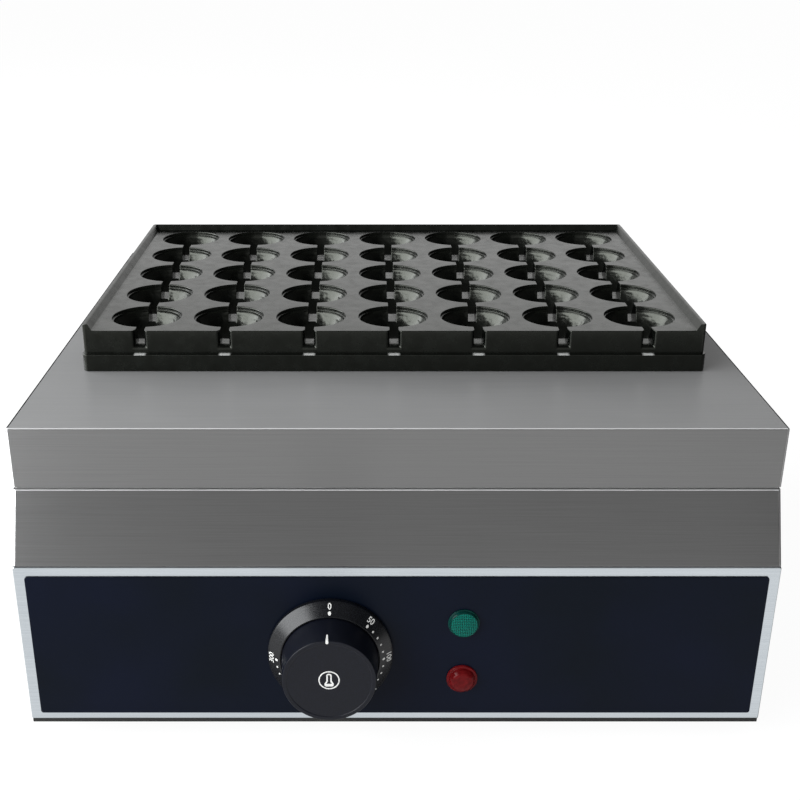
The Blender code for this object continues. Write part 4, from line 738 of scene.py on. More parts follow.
def bandGrids(path, normals):
    # the plate's foot: a step out, a rounded edge, the band's face, and the boss below it
    s = plateSettings
    seat, boss, out = -s["seatDepth"], -s["bossDepth"], s["bandReach"]
    profile = filletLine([(0, -s["stepDepth"]), (out, -s["stepDepth"]), (out, seat), (-12, seat)], [0.7, 0.4], 3)
    band = sweptGrid(path, normals * np.array([s["sideShare"], 1]), profile)
    middle = np.array([0, (s["back"] - s["front"]) / 2])
    inset = middle + (band[:, -1, :2] - middle) * np.array([0.985, 0.98])
    low, lower = [np.column_stack([inset, np.full(len(inset), z)]) for z in (seat, boss)]
    centre = np.column_stack([np.tile(middle, (len(inset), 1)), np.full(len(inset), boss)])
    foot = np.stack([band[:, -1], low, lower, centre], axis=1)
    return [flipped(band), flipped(foot)]


def buildPlate():
    s = plateSettings
    columns = (np.arange(s["columns"]) - (s["columns"] - 1) / 2) * s["pitch"]
    reach = s["pitch"] / 2
    grids, sideRows, backColumns = [], [], []
    for row in range(s["rows"]):
        front = -(s["firstRow"] - s["lipLength"]) if row == 0 else -reach
        back = s["backLand"] if row == s["rows"] - 1 else reach
        tile, outer = tileGrids(front, back, row < s["rows"] - 1)
        middle = s["firstRow"] + row * s["pitch"]
        for x in columns:
            grids += [g + np.array([x, middle, 0]) for g in tile]
        onSide = outer[np.abs(outer[:, 0] - reach) < 1e-6]
        sideRows.append(middle + onSide[:, 1])
        if row == 0:
            frontSamples = np.sort(outer[np.abs(outer[:, 1] - front) < 1e-6][:, 0])
        if row == s["rows"] - 1:
            backSamples = np.sort(outer[np.abs(outer[:, 1] - back) < 1e-6][:, 0])
            across = np.linspace(-s["channelHalf"], s["channelHalf"], 5)
            samples = np.concatenate([-backSamples[::-1], across, backSamples])
            backColumns = np.concatenate([x + samples for x in columns])
    lip, bottomX, lipRows = lipGrids(frontSamples)
    for x in columns:
        grids += [g + np.array([x, 0, 0]) for g in lip]
    sideRows = np.unique(np.round(np.concatenate([lipRows] + sideRows), 6))
    backColumns = np.unique(np.round(backColumns, 6))
    middleRim, path, capX = rimGrids(sideRows, backColumns[::-1][: (len(backColumns) + 1) // 2])
    grids += bothSides(middleRim)
    # plan path of the wall's foot, anticlockwise from the middle of the front, for the band
    frontX = np.concatenate([x + np.concatenate([-bottomX, bottomX]) for x in columns] + [capX])
    frontX = np.unique(np.round(frontX, 6))
    frontX = frontX[frontX > 0]
    half = np.concatenate([np.column_stack([frontX, 0 * frontX]), path[1:]])
    half = half[np.concatenate([[True], np.hypot(*np.diff(half, axis=0).T) > 1e-5])]
    r, hw, depth = s["cornerRadius"], s["halfWidth"], s["back"] - s["front"]
    centre = np.column_stack([np.clip(half[:, 0], -hw + r, hw - r), np.clip(half[:, 1], r, depth - r)])
    way = half - centre
    normal = way / np.linalg.norm(way, axis=1)[:, None]
    other, otherNormal = (half * (-1, 1))[::-1], (normal * (-1, 1))[::-1]
    onRight, onLeft = half[:, 0] > 1e-6, other[:, 0] < -1e-6
    loop = np.concatenate([[(0, 0)], half[onRight], [(0, depth)], other[onLeft], [(0, 0)]])
    loopNormal = np.concatenate([[(0, -1)], normal[onRight], [(0, 1)], otherNormal[onLeft], [(0, -1)]])
    grids += bandGrids(loop, loopNormal)
    origin = np.array([0, s["front"], s["planeHeight"]])
    plate = addSurface("mould_plate_cast", [g + origin for g in grids], coatingMaterial(),
                       ["mould_plate"], sharp=50, recalculate=False)
    print("mould plate: %d cups, %d faces" % (s["columns"] * s["rows"], len(plate.data.polygons)))


buildPlate()


housingSettings = {
    "halfWidth": 225.0, "coverFront": -186.2, "coverBack": 218.8, "coverLow": 164.2, "coverTop": 201.7,
    "coverSheet": 1.2, "coverBend": 1.3, "coverCorner": 1.5,
    "openingHalf": 187.0, "openingFront": -77.2, "openingBack": 182.8, "openingCorner": 8.0,
    "bodyTop": 163.0, "bodyLow": 12.0, "shellFront": -203.4, "shellBack": 217.3, "bodySheet": 1.2,
    "panelTop": 121.5, "panelFace": -205.2, "panelSheet": 1.5, "shadeStripHeight": 2.6, "shadeStripBack": 0.4,
    "neckHalf": 223.5, "neckFront": -184.7, "neckHeight": 14.0, "neckSeam": 1.5,
    "neckBend": 0.4, "bodyBend": 0.7, "shelfSideBend": 1.85,
}


def buildCover():
    # hood: one profile round the outline, up the skirt, over the bend and in to the opening, then back inside
    s = housingSettings
    half, low, top, t, corner = s["halfWidth"], s["coverLow"], s["coverTop"], s["coverSheet"], s["coverCorner"]
    path, normals = roundedRectangle((-half, s["coverFront"]), (half, s["coverBack"]), corner)
    opening, _ = roundedRectangle((-s["openingHalf"], s["openingFront"]), (s["openingHalf"], s["openingBack"]),
                                  s["openingCorner"])
    outside = filletLine([(-t, low), (0, low), (0, top), (-corner, top)], [0.2, s["coverBend"]], 5)
    inside = np.array([(-corner, top - t), (-t, top - t), (-t, low)])
    edge, under = [np.column_stack([opening, np.full(len(opening), z)])[:, None] for z in (top, top - t)]
    hood = np.concatenate([sweptGrid(path, normals, outside), edge, under, sweptGrid(path, normals, inside)], axis=1)
    mesh = addSurface("cover_hood_sheet", [hood], steelHood, ["cover_hood"], sharp=50,
                      recalculate=False).data
    # the folds along both sides' tops wear a near black matt material: painted shade
    way, middle = faceValues(mesh, "normal"), faceValues(mesh, "center") / mm
    onSide = (np.abs(middle[:, 0]) > half - corner) & (np.abs(way[:, 1]) < 0.1)
    secondMaterial(mesh, shadeMarkMaterial, onSide & (middle[:, 2] > top - 0.9 * s["coverBend"]))


def polygonSheet(name, corners, faces, bends, wideFolds, seam, thickness, material, replaces):
    # flat faces between corners; Bevel rounds the folds, and Solidify gives the sheet its wall inwards. `bends` are the
    # widths of the neck's folds, of the other folds and of the wide ones, and a seam's width marks the edges left flat
    neckBend, bend, wideBend = bends
    mesh = bpy.data.meshes.new(name)
    mesh.from_pydata((np.array(corners) * mm).tolist(), [], faces)
    mesh.shade_smooth()
    mesh.set_sharp_from_angle(angle=math.radians(50))
    piece = addPiece(name, mesh, material, replaces, weighted=False)
    pairs = np.empty(len(mesh.edges) * 2, np.int32)
    mesh.edges.foreach_get("vertices", pairs)
    pairs = pairs.reshape(-1, 2)
    points = np.array(corners)[pairs]
    weights = np.full(len(mesh.edges), bend / wideBend, np.float32)
    weights[pairs.max(1) >= 12] = neckBend / wideBend  # the corners from 12 up are the neck's
    weights[[tuple(sorted(pair)) in wideFolds for pair in pairs.tolist()]] = 1.0
    spanX, spanZ = np.ptp(points[:, :, 0], axis=1), np.ptp(points[:, :, 2], axis=1)
    weights[(spanZ == 0) & (np.abs(spanX - seam) < 0.01)] = 0.0  # seams in the flat top
    mesh.attributes.new("bevel_weight_edge", "FLOAT", "EDGE").data.foreach_set("value", weights)
    folds = piece.modifiers.new("Folds", "BEVEL")
    folds.width, folds.segments, folds.limit_method = wideBend * mm, 4, "WEIGHT"
    folds.use_clamp_overlap = False
    wall = piece.modifiers.new("Wall", "SOLIDIFY")
    wall.thickness, wall.offset, wall.use_even_offset = thickness * mm, -1, True
    normals = piece.modifiers.new("FlatFacesStayFlat", "WEIGHTED_NORMAL")
    normals.keep_sharp = True


def buildBody():
    # left and right sides, the sloping shelf, the lip behind the panel, the flat top and the neck under the hood
    s = housingSettings
    half, neckHalf, top, neckTop = s["halfWidth"], s["neckHalf"], s["bodyTop"], s["bodyTop"] + s["neckHeight"]
    lipY = s["panelFace"] + (s["coverFront"] - s["panelFace"]) * 0.3 / (top - s["panelTop"])
    lipZ, neckBack = s["panelTop"] + 0.3, s["shellBack"] - s["neckSeam"]
    side = [(s["coverFront"], top), (lipY, lipZ), (s["shellFront"], lipZ), (s["shellFront"], s["bodyLow"]),
            (s["shellBack"], s["bodyLow"]), (s["shellBack"], top)]
    neck = [(s["neckFront"], top), (s["neckFront"], neckTop), (neckBack, top), (neckBack, neckTop)]
    corners = [(x, y, z) for x, line in ((-half, side), (half, side), (-neckHalf, neck), (neckHalf, neck))
               for y, z in line]
    faces = [(0, 5, 4, 3, 2, 1), (6, 7, 8, 9, 10, 11), (0, 1, 7, 6), (1, 2, 8, 7),
             (0, 6, 16, 12), (5, 0, 12, 14), (6, 11, 18, 16), (11, 5, 14, 18),
             (12, 16, 17, 13), (14, 12, 13, 15), (16, 18, 19, 17), (18, 14, 15, 19)]
    bends = (s["neckBend"], s["bodyBend"], s["shelfSideBend"])
    polygonSheet("body_shell_sheet", corners, faces, bends, [(0, 1), (6, 7)], s["neckSeam"], s["bodySheet"], steelBody,
                 ["body_shell"])


def addSlab(name, low, high, corner, seat, thickness, rounds, steps, margin, material, replaces=()):
    # a plate on the front: its edge's profile carried round a rounded rectangle in X and Z, closed to the middle at
    # both ends; `rounds` are its back and front edges' radii, and `margin` is how far in the profile starts
    path, normals = roundedRectangle(low, high, corner)
    profile = filletLine([(-margin, 0), (0, 0), (0, thickness), (-margin, thickness)], rounds, steps)
    side = sweptGrid(path, normals, profile)
    ends = [np.broadcast_to(side[:, [i]].mean(0), side[:, [i]].shape) for i in (0, -1)]
    grid = placed(np.concatenate([ends[0], side, ends[1]], axis=1), facing("front", 0, seat, 0))
    addSurface(name, [grid], material, replaces, sharp=50, recalculate=False)


def buildPanel():
    # the silver front plate, a black rubber strip along its foot as painted shade for the dark line under the plate,
    # and the printed film with a hair-thin rounded edge
    s = housingSettings
    half, back, t = s["halfWidth"], s["shadeStripBack"], s["panelSheet"]
    seat, foot = s["panelFace"] + t, s["bodyLow"] + s["shadeStripHeight"]
    addSlab("front_panel_plate", (-half, foot + 0.1), (half, s["panelTop"]), 1.0, seat, t, [0.2, 0.7], 4, 0.95,
            silverPanel, ["front_panel"])
    # painted shade: a black rubber strip under the plate stands for the dark line at its foot
    addSlab("panel_foot_shade_strip", (-half + back, s["bodyLow"]), (half - back, foot), 0.4, seat, t - back, [0.05, 0.3], 3, 0.35,
            rubber)
    low, high = boxOf("control_overlay")
    addSlab("control_overlay_film", (low[0], low[2]), (high[0], high[2]), 1.5, high[1], high[1] - low[1], [0.05, 0.25],
            3, 1.4, overlayFilm, ["control_overlay"])


ventSettings = {
    "slotWidth": 3.4, "slotLength": 36.0, "pitch": 10.0, "count": 9, "groupX": 105.0, "middle": 117.0,
    "cellHeight": 44.0, "sheet": 1.2,
}


def buildRearPanel():
    # back sheet as cells of a grid; a cell with a slot is a ring from its four corners to the slot's rounded outline
    s, v = housingSettings, ventSettings
    cells = (np.arange(v["count"] + 1) - v["count"] / 2) * v["pitch"]
    xs = np.concatenate([[-s["halfWidth"]], cells - v["groupX"], cells + v["groupX"], [s["halfWidth"]]])
    zs = np.array([s["bodyLow"], v["middle"] - v["cellHeight"] / 2, v["middle"] + v["cellHeight"] / 2, s["bodyTop"]])
    slotted = {first + i for first in (1, v["count"] + 2) for i in range(v["count"])}
    half = np.array([v["slotWidth"], v["slotLength"]]) / 2
    grids = []
    for i in range(len(xs) - 1):
        for k in range(len(zs) - 1):
            low, high = np.array([xs[i], zs[k]]), np.array([xs[i + 1], zs[k + 1]])
            lowRight, highLeft = (high[0], low[1]), (low[0], high[1])
            if k == 1 and i in slotted:
                middle = (low + high) / 2
                slot, _ = roundedRectangle(middle - half, middle + half, half[0] - 0.001, 5)
                border = np.repeat([lowRight, high, highLeft, low, lowRight], [6, 6, 6, 6, 1], axis=0)
                flat = np.stack([border, slot], axis=1)
            else:
                flat = np.array([[low, highLeft], [lowRight, high]])
            grids.append(np.stack([flat[..., 0], np.full(flat.shape[:2], s["coverBack"]), flat[..., 1]], axis=2))
    piece = addSurface("rear_panel_sheet", grids, steelRear, ["rear_panel"], sharp=50,
                       weighted=False)
    if piece.data.polygons[0].normal.y < 0:
        piece.data.flip_normals()
    wall = piece.modifiers.new("Wall", "SOLIDIFY")
    wall.thickness, wall.offset = v["sheet"] * mm, -1


buildCover()
buildBody()
buildPanel()
buildRearPanel()
print("housing: hood, body, front plate, film and rear panel")


dialSettings = {
    "x": -39.5, "z": 64.15, "seat": -206.6, "ringRadius": 37.5, "ringEdge": 3.0, "ringHeight": 9.5,
    "recess": 29.4, "floor": 2.4, "hole": 4.5, "crest": 0.9,
    "dotRadius": 32.0, "labelRadius": 35.0, "lift": 0.05,  # the print's middle above the cone
    "digitHeight": 2.9, "digitShare": 0.7, "digitStretch": 1.12, "digitThickness": 0.04, "digitBold": 0.045,
    "firstDegrees": 43.9, "degreesPerDot": 9.04, "dots": 26, "dotsPerNumber": 5,
    "dotSizes": (0.95, 0.8, 0.58),  # at zero, at a number, and between
}


def coneHeight(radius):  # height of the ring's cone over its seat, from its crest to its edge
    d = dialSettings
    inner, outer = d["recess"] + d["crest"], d["ringRadius"] - d["crest"]
    slope = (d["ringHeight"] - d["ringEdge"] - d["crest"]) / (outer - inner)
    return d["ringHeight"] - (radius - inner) * slope


def onCone(flat, degrees, radius):
    # a flat drawing (right, up, thickness) laid on the cone at an angle clockwise from the top, up pointing outwards
    d, a = dialSettings, math.radians(degrees)
    right, up, thick = flat[..., 0], flat[..., 1] + radius, flat[..., 2]
    x = right * math.cos(a) + up * math.sin(a)
    z = -right * math.sin(a) + up * math.cos(a)
    height = coneHeight(np.hypot(x, z)) + d["lift"] + thick
    return np.stack([x + d["x"], d["seat"] - height, z + d["z"]], axis=-1)


def textMesh(words, height):  # outlines of a text filled and given a hair's thickness, as points in mm and faces
    d, curve = dialSettings, bpy.data.curves.new("words", "FONT")
    curve.body, curve.align_x, curve.align_y = words, "CENTER", "CENTER"
    curve.size = height / d["digitShare"]  # digits stand 0.7 of the typeface's size high
    curve.extrude, curve.offset, curve.resolution_u = d["digitThickness"], d["digitBold"], 4
    obj = bpy.data.objects.new("words", curve)
    mesh = bpy.data.meshes.new_from_object(obj)
    bm = bmesh.new()
    bm.from_mesh(mesh)
    bmesh.ops.remove_doubles(bm, verts=bm.verts, dist=0.0005)
    bm.to_mesh(mesh)
    bm.free()
    points = np.array([v.co for v in mesh.vertices]) * (d["digitStretch"], 1, 1)
    faces = [tuple(p.vertices) for p in mesh.polygons]
    bpy.data.objects.remove(obj)
    bpy.data.curves.remove(curve)
    bpy.data.meshes.remove(mesh)
    return points, faces


def buildScale():
    # white printed numbers each 50 degrees and a dot each 10 between them
    d = dialSettings
    points, faces, grids = [], [], []
    step, (zeroDot, longDot, shortDot) = d["dotsPerNumber"], d["dotSizes"]
    numbers = ["0"] + [str(50 * (i + 1)) for i in range(6)]
    turns = [0.0] + [d["firstDegrees"] + step * i * d["degreesPerDot"] for i in range(6)]
    for words, degrees in zip(numbers, turns):
        flat, polygons = textMesh(words, d["digitHeight"])
        start = sum(len(p) for p in points)
        points.append(onCone(flat, degrees, d["labelRadius"]))
        faces += [tuple(start + i for i in face) for face in polygons]
    mesh = bpy.data.meshes.new("dial_scale_numbers")
    mesh.from_pydata((np.concatenate(points) * mm).tolist(), [], faces)
    addPiece("dial_scale_numbers", mesh, whitePrint, weighted=False)
    dots = [(d["firstDegrees"] + i * d["degreesPerDot"], shortDot if i % step else longDot) for i in range(d["dots"])]
    for degrees, size in [(0.0, zeroDot)] + dots:
        dot = turnedGrid([(0, 0.05), (size, 0.05), (size, -0.03), (0, -0.03)], 14)
        grids.append(onCone(dot, degrees, d["dotRadius"]))
    addSurface("dial_scale_dots", grids, whitePrint)


def buildRing():
    # fixed scale ring: cone round a recess, all corners eased
    d = dialSettings
    c, r, edge, top = d["crest"], d["ringRadius"], d["ringEdge"], d["ringHeight"]
    floor, hole, recess = d["floor"], d["hole"], d["recess"]
    corners = [(recess, floor), (recess, top), (recess + c, top), (r - c, edge + c), (r, edge), (r, 0),
               (hole, 0), (hole, floor), (recess - 0.2, floor), (recess, floor)]
    profile = filletLine(corners, [0.35, 0.45, 0.5, 0.5, 0.3, 0.2, 0.2, 0])
    ring = placed(turnedGrid(profile, 128), facing("front", d["x"], d["seat"], d["z"]))
    addSurface("dial_ring_moulded", [ring], phenolic, ["dial_ring"])


knobSettings = {
    "base": 57.8, "face": 54.6, "front": 30.38, "start": 5.4, "shoulder": 2.2, "dish": 0.35, "dishSlope": 0.4,
    "wall": 3.0, "faceWall": 3.5, "socket": 6.5, "socketStart": 7.6,
    "pointerFrom": 1.9, "pointerBack": 6.2, "pointerHalf": 0.85, "pointerTaper": 0.045, "pointerDegrees": -2,
}


def knobRadius(height):  # the cap tapers evenly from the ring's height to its front
    k, start = knobSettings, dialSettings["ringHeight"]
    share = (height - start) / (k["front"] - start)
    return (k["base"] + (k["face"] - k["base"]) * np.clip(share, 0, 1)) / 2


def buildKnob():
    # cap with a slightly dished face inside a bright-edged shoulder; hollow behind
    d, k = dialSettings, knobSettings
    front, face, foot, wall = k["front"], k["face"] / 2, knobRadius(0), k["wall"]
    dish, edge, inside = front - k["dish"], face - k["shoulder"], front - k["faceWall"]
    corners = [(0, dish), (edge - k["dishSlope"], dish), (edge, front), (face, front),
               (knobRadius(d["ringHeight"]), d["ringHeight"]), (foot, k["start"]), (foot - wall, k["start"]),
               (face - wall, inside), (k["socket"], inside), (k["socket"], k["socketStart"]), (0, k["socketStart"])]
    profile = filletLine(corners, [0.4, 0.3, 0.55, 0, 0.4, 0.5, 1.0, 0.6, 0.4], 5)
    place = facing("front", d["x"], d["seat"], d["z"])
    cap = placed(turnedGrid(profile, 144), place)
    addSurface("knob_cap", [cap], phenolicHandled, ["knob"], "knob")
    buildPointer(place)
    buildIcon(place, dish)


def buildPointer(place):
    # a tapering stroke from the face's rim over its edge and back along the side: a line of (radius, height) with a
    # section of (share of the half width, lift) across it, bent round the knob
    k = knobSettings
    front, face, back = k["front"], k["face"] / 2, k["front"] - k["pointerBack"]
    line = filletLine([(face - k["pointerFrom"], front), (face, front), (knobRadius(back), back)], [0.55], 6)
    line = np.concatenate([line[:1] + (line[1:2] - line[:1]) * np.linspace(0, 1, 6)[:-1, None], line[1:-1],
                           line[-2:-1] + (line[-1:] - line[-2:-1]) * np.linspace(0, 1, 9)[1:, None]])
    run = np.concatenate([[0], np.cumsum(np.hypot(*np.diff(line, axis=0).T))])
    half = k["pointerHalf"] - k["pointerTaper"] * run
    toEnd = np.clip(1 - np.minimum(run, run[-1] - run) / half, 0, 1)
    half = half * np.sqrt(np.clip(1 - toEnd ** 2, 0.03, 1))  # round ends
    slope = np.gradient(line, axis=0)
    normal = np.stack([slope[:, 1], -slope[:, 0]], axis=1) / np.linalg.norm(slope, axis=1)[:, None]
    normal *= np.sign(normal @ np.array([1, 1]))[:, None]
    stroke = []
    for share, lift in [(0, 0.0), (-1, 0.0), (-1, 0.07), (0, 0.09), (1, 0.07), (1, 0.0), (0, 0.0)]:
        at = line + normal * (lift + 0.02)
        stroke.append(np.stack([half * share, np.sqrt(at[:, 0] ** 2 - (half * share) ** 2), at[:, 1]], axis=1))
    stroke = np.stack(stroke, axis=0)
    ends = [np.broadcast_to(stroke[:, [i]].mean(0, keepdims=True), (len(stroke), 1, 3)) for i in (0, -1)]
    stroke = np.concatenate([ends[0], stroke, ends[1]], axis=1)
    turned = placed(stroke, Matrix.Rotation(math.radians(-k["pointerDegrees"]), 4, "Z"))
    addSurface("knob_pointer", [placed(turned, place)], whitePrint, body="knob")


iconSettings = {
    "circle": (5.45, 6.2), "thickness": 0.07, "up": 0.6,
    # right halves of the thermometer's outline and of its hole, from the top down, with the radii of their corners
    "outline": [(0, 4.5), (1.6, 4.5), (1.6, -0.6), (2.7, -2.2), (2.7, -4.3), (0, -4.3)],
    "outlineRounds": [1.5, 1.5, 1.0, 1.2],
    "hole": [(0, 3.6), (0.7, 3.6), (0.7, -1.0), (1.5, -2.2), (1.5, -2.5), (0, -2.5)],
    "holeRounds": [0.65, 0.9, 0.05, 0.05],
}


def buildIcon(place, level):
    # thermometer in a circle: rings between two outlines, a hair above the knob's face
    s = iconSettings
    turn = np.linspace(0, 2 * np.pi, 65)
    circle = np.stack([np.cos(turn), np.sin(turn)], axis=1)
    halves = [filletLine(s[part], s[part + "Rounds"], 6) for part in ("hole", "outline")]
    rings = [[circle * radius for radius in s["circle"]],
             [np.concatenate([half, (half * (-1, 1))[::-1]]) for half in halves]]
    grids, low, high = [], level, level + s["thickness"]
    for inner, outer in rings:
        section = [(inner, low), (inner, high), (outer, high), (outer, low), (inner, low)]
        ring = [np.column_stack([line + (0, s["up"]), np.full(len(line), h)]) for line, h in section]
        grids.append(placed(np.stack(ring, axis=1), place))
    addSurface("knob_face_icon", grids, whitePrint, body="knob")


buildRing()
buildScale()
buildKnob()
print("dial: ring, scale, knob and its marks")


lampLens = {
    "x": 40.2, "seat": -206.3, "radius": 9.4, "flange": 1.6,
    "greenZ": 84.4, "greenHeight": 3.7, "greenShoulder": 2.0, "greenDome": 8.8,
    "crown": 7.9, "crownRise": 0.6, "prismPitch": 1.1, "prismHeight": 0.3, "prismFoot": 2.75,
    "redZ": 45.4, "redHeight": 6.2, "redShoulder": 3.4, "redDome": 8.0,
}
greenLens = lensMaterial("green lens", "#01342e", "#0a7869", lampLens["prismPitch"],
                         (lampLens["x"], 0, lampLens["greenZ"]))


greenRim = lensMaterial("green lens rim", "#052c28", "#0a3a35")
redLens = lensMaterial("red lens", "#560c0f", "#6a1215")


def buildGreenLens():
    # face: a square grid bent to a disc, x = u sqrt(1 - v^2 / 2), with small pyramids; round it the turned shoulder
    # and flange, each ring the face's own outline scaled by its share of the crown's radius
    s = lampLens
    crown, flange, dome = s["crown"], s["flange"], s["greenDome"]
    u, v = np.meshgrid(np.linspace(-1, 1, 81), np.linspace(-1, 1, 81), indexing="ij")
    x, y = u * np.sqrt(1 - v ** 2 / 2) * crown, v * np.sqrt(1 - u ** 2 / 2) * crown
    saw = [np.abs(((p / s["prismPitch"]) % 1) - 0.5) * 2 for p in (x, y)]
    fade = np.clip(crown - np.hypot(x, y), 0, 1)
    swell = s["crownRise"] * (1 - (x ** 2 + y ** 2) / crown ** 2)
    z = s["prismFoot"] + swell + s["prismHeight"] * np.minimum(saw[0], saw[1]) * fade
    face = np.stack([x, y, z], axis=2)
    rim = np.concatenate([face[0, :-1], face[:-1, -1], face[-1, :0:-1], face[::-1, 0]])
    corners = [(crown, s["prismFoot"]), (crown + 0.2, s["greenHeight"] - 0.6), (dome - 0.1, s["greenShoulder"]),
               (dome, flange - 0.6), (s["radius"], flange - 0.7), (s["radius"], 0), (0.5, 0)]
    profile = filletLine(corners, [0.15, 0.4, 0.2, 0.3, 0.1])
    share = profile[:, 0] / crown
    heights = np.broadcast_to(profile[None, :, 1:2], (len(rim), len(profile), 1))
    shell = np.concatenate([rim[:, None, :2] * share[None, :, None], heights], axis=2)
    shell[:, 0] = rim
    shell = np.concatenate([shell, np.zeros((len(rim), 1, 3))], axis=1)
    place = facing("front", s["x"], s["seat"], s["greenZ"])
    mesh = addSurface("lamp_lens_green_prismatic", [placed(face, place), placed(shell, place)], greenLens,
                      ["lamp_lens_green"], sharp=24, weighted=False).data
    away = np.hypot(*(faceValues(mesh, "center")[:, [0, 2]] / mm - (s["x"], s["greenZ"])).T)
    secondMaterial(mesh, greenRim, away > crown)  # the smooth shoulder and flange round the prisms


def buildRedLens():
    # a turned dome on its flange
    s = lampLens
    top, dome, flange = s["redHeight"], s["redDome"], s["flange"]
    corners = [(0, top - 0.1), (3.4, top - 0.25), (6.2, top - 1.0), (dome - 0.3, s["redShoulder"]), (dome, flange),
               (s["radius"], flange - 0.1), (s["radius"], 0), (0, 0)]
    profile = filletLine(corners, [6.0, 3.0, 1.2, 0.3, 0.5, 0.1], 5)
    lens = placed(turnedGrid(profile, 96), facing("front", s["x"], s["seat"], s["redZ"]))
    addSurface("lamp_lens_red_domed", [lens], redLens, ["lamp_lens_red"])


buildGreenLens()
buildRedLens()
print("lamps: prismatic green lens and domed red lens")


screwSettings = {
    "sheet": (3.6, 2.1, 1.8, 9.0),  # radius and height of the head, radius of the shank, length
    "foot": (4.2, 2.6, 2.0, 14.0),
    "rings": (0, 0.12, 0.24, 0.36, 0.46, 0.54, 0.62, 0.72, 0.86, 0.95, 1.0),
    # shares of the head's radius or height
    "blade": 0.13, "reach": 0.6, "arch": 0.42, "edge": 0.45, "recess": 0.55,
    "standOff": 0.3, "coverInset": 70, "coverRise": 7, "rearSide": 7, "rearInset": 20, "footSeat": 5.7,
}
footSettings = {
    "profile": [(2.6, 11.7), (13.0, 11.7), (11.5, 1.0), (11.5, 0), (6.0, 0), (6.0, 6.0), (2.6, 6.0), (2.6, 11.7)],
    "rounds": [0.5, 0.6, 0.9, 0.5, 0.2, 0.3],
}


def crossHead(radius, height, shank, length):
    # pan head: an arched top with a cross recess, cut where |x| or |y| is inside the blade's half width; then the shank
    s = screwSettings
    r = np.array(s["rings"])[None, :] * radius
    a = np.linspace(0, 2 * np.pi, 49)[:, None]
    x, y = r * np.cos(a), r * np.sin(a)
    reach, edge = radius * s["reach"], height * s["edge"]
    inside = (np.minimum(np.abs(x), np.abs(y)) < radius * s["blade"] + 0.02) & (r < reach)
    z = height * (1 - s["arch"] * (r / radius) ** 3) - inside * np.minimum(height * s["recess"], (reach - r) * 0.9)
    z[:, -1] = edge
    head = np.stack([x, y, z], axis=2)
    return [head, turnedGrid([(radius, edge), (radius, 0), (shank, 0), (shank, -length + shank), (0, -length)], 48)]


def addScrew(name, kind, place):
    grids = [placed(g, place) for g in crossHead(*screwSettings[kind])]
    addSurface(name + "_cross", grids, zinc, [name], sharp=30, weighted=False)


def buildScrews():
    h, s = housingSettings, screwSettings
    half, rear, off = h["halfWidth"], h["coverBack"], s["standOff"]
    for side, direction in ((-1, "left"), (1, "right")):
        for y, end in ((h["coverFront"] + s["coverInset"], "front"), (rear - s["coverInset"], "rear")):
            place = facing(direction, side * (half + off), y, h["coverLow"] + s["coverRise"])
            addScrew("cover_screw_%s_%s" % (direction, end), "sheet", place)
        for z, level in ((h["bodyLow"] + s["rearInset"], "lower"), (h["bodyTop"] - s["rearInset"], "upper")):
            place = facing("back", side * (half - s["rearSide"]), rear + off, z)
            addScrew("rear_screw_%s_%s" % (direction, level), "sheet", place)
    foot = turnedGrid(filletLine(footSettings["profile"], footSettings["rounds"], 3), 64)
    for end in ("front_left", "front_right", "rear_left", "rear_right"):
        low, high = boxOf("foot_screw_" + end)
        x, y = (low[:2] + high[:2]) / 2
        addScrew("foot_screw_" + end, "foot", facing("down", x, y, s["footSeat"]))
        addSurface("foot_%s_rubber" % end, [foot + np.array([x, y, 0])], rubber, ["foot_" + end])


glandSettings = {
    "x": -150.0, "z": 42.0, "seat": 219.1, "bore": 4.2, "mouth": 6.7, "dome": 10.5, "domeStart": 6.5, "collar": 12.5,
    "collarLength": 6.0, "length": 18.0, "thread": 7.8, "inside": 13.5, "ribs": 18, "ribDepth": 0.035,
}


def hexFactor(angle):  # 1 at a hexagon's corners, cos 30 at the middle of its flats
    return math.cos(math.pi / 6) / np.cos((angle + math.pi / 6) % (math.pi / 3) - math.pi / 6)


def buildGland():
    # turned profile whose collar is six-sided and whose dome nut has grip ribs
    s = glandSettings
    bore, dome, long, collar, inside = s["bore"], s["dome"], s["collarLength"], s["collar"], -s["inside"]
    corners = [(bore, s["length"]), (s["mouth"], s["length"]), (dome, long + s["domeStart"]), (dome, long),
               (collar, long), (collar, 0), (s["thread"], 0), (s["thread"], inside), (bore, inside),
               (bore, s["length"])]
    profile = filletLine(corners, [0.8, 3.0, 0.2, 0.6, 0.3, 0.2, 0.5, 0.3], 5)
    grid = turnedGrid(profile, 180)
    angle = np.linspace(0, 2 * np.pi, 181)[:, None]
    radius, height = profile[:, 0][None, :], profile[:, 1][None, :]
    onCollar = (height <= long + 0.01) & (height >= -0.01) & (radius > dome + 0.3)
    onNut = (height > long + 0.2) & (radius > s["mouth"] + 0.6)
    ribs = 1 - s["ribDepth"] * (0.5 + 0.5 * np.cos(s["ribs"] * angle)) ** 2
    factor = np.where(onCollar, hexFactor(angle), np.where(onNut, ribs, 1.0))
    grid[..., :2] *= factor[..., None]
    place = facing("back", s["x"], s["seat"], s["z"])
    addSurface("cable_gland_ribbed", [placed(grid, place)], nylonBlack, ["cable_gland"], sharp=34,
               weighted=False)


earthSettings = {
    "x": -105.0, "outside": 10.7, "inside": 14.5, "root": 2.3, "start": 0.3, "crest": 0.4, "pitch": 0.8, "taper": 0.6,
    "collar": [(2.5, 5.0), (5.0, 5.0), (5.8, 4.4), (5.8, 0.0), (2.5, 0.0), (2.5, 5.0)], "acrossFlats": 10.04,
}


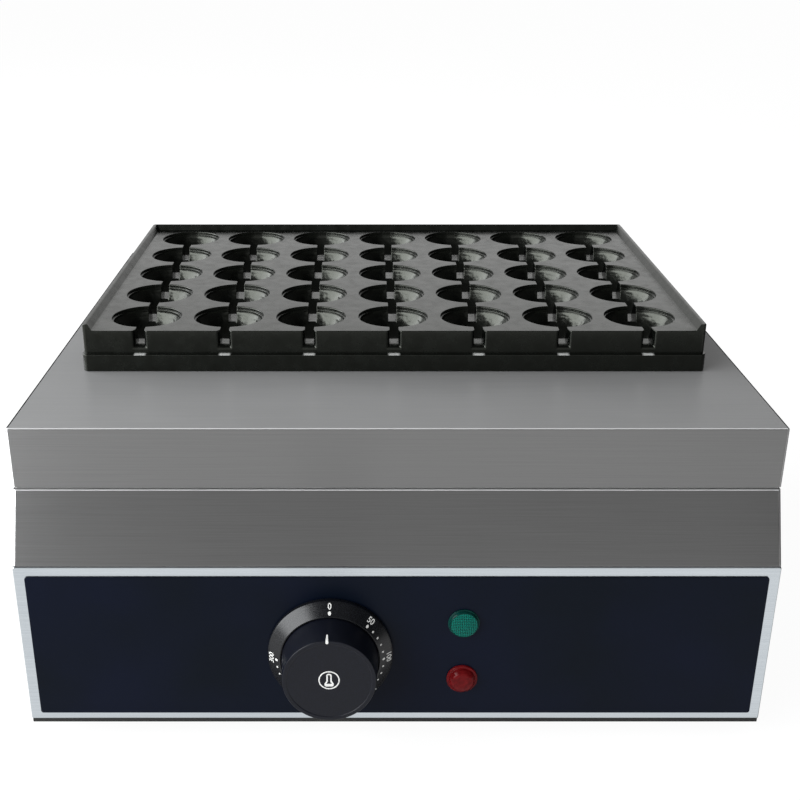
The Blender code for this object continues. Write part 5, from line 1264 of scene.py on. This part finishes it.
def buildEarthStud():
    # threaded brass stud: its radius follows a helix, root + crest * |saw(h / pitch - a / 2 pi)|, and tapers at both
    # ends; a hexagon collar outside
    s = earthSettings
    place = facing("back", s["x"], glandSettings["seat"], glandSettings["z"])
    a = np.linspace(0, 2 * np.pi, 37)[:, None]
    h = np.linspace(s["outside"], -s["inside"], 211)[None, :]
    saw = np.abs(((h / s["pitch"] - a / (2 * np.pi)) % 1) - 0.5) * 2
    taper = np.clip(np.minimum(s["outside"] - h, h + s["inside"]) / s["taper"], 0, 1)
    r = s["root"] + (s["start"] + s["crest"] * saw) * taper
    rod = np.stack([r * np.cos(a), r * np.sin(a), h + 0 * a], axis=2)
    caps = [np.stack([rod[:, i] * np.array([t, t, 1]) for t in (0, 1)], axis=1) for i in (0, -1)]
    angle = np.linspace(0, 2 * np.pi, 97)[:, None]
    line = filletLine(s["collar"], [0.2, 0.2, 0.2, 0], 3)
    collar = turnedGrid(line, 96)
    flats = s["acrossFlats"] / 2 * hexFactor(angle) / math.cos(math.pi / 6)  # from the axis to a flat, by angle
    collar[..., :2] *= np.minimum(1, flats / line[:, 0])[..., None]
    addSurface("earth_stud_threaded", [placed(g, place) for g in (rod, *caps, collar)], brass,
               ["earth_stud"], sharp=34, weighted=False)


buildScrews()
buildGland()
buildEarthStud()
print("fasteners: screws, feet, gland and earth stud")


nodeFinishes = {
    "thermostat_body": steatite, "thermostat_shaft": zinc, "thermostat_screw": zinc, "lamp_body": nylonWhite,
    "heating_element": sheath, "clamp_bar": zinc, "clamp_bolt": zinc, "shield_spacer": zinc,
    "insulation_board": fibreBoard, "heat_shield": aluminised, "bulb_holder": zinc, "sensing_bulb": copperDrawn,
    "capillary_tube": copperDrawn, "base_plate": galvanised, "gland_locknut": nylonBlack, "earth_nut": brass,
    "terminal_block": steatite, "wire_live": redSleeve, "wire_heater": redSleeve, "wire_neutral": blueSleeve,
    "wire_earth": earthSleeve,
}
painted = 0
for node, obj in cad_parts.items():
    for start, material in nodeFinishes.items():
        if node.startswith(start):
            obj.data.materials.clear()
            obj.data.materials.append(material)
            painted += 1


print("inner parts: %d CAD nodes finished" % painted)
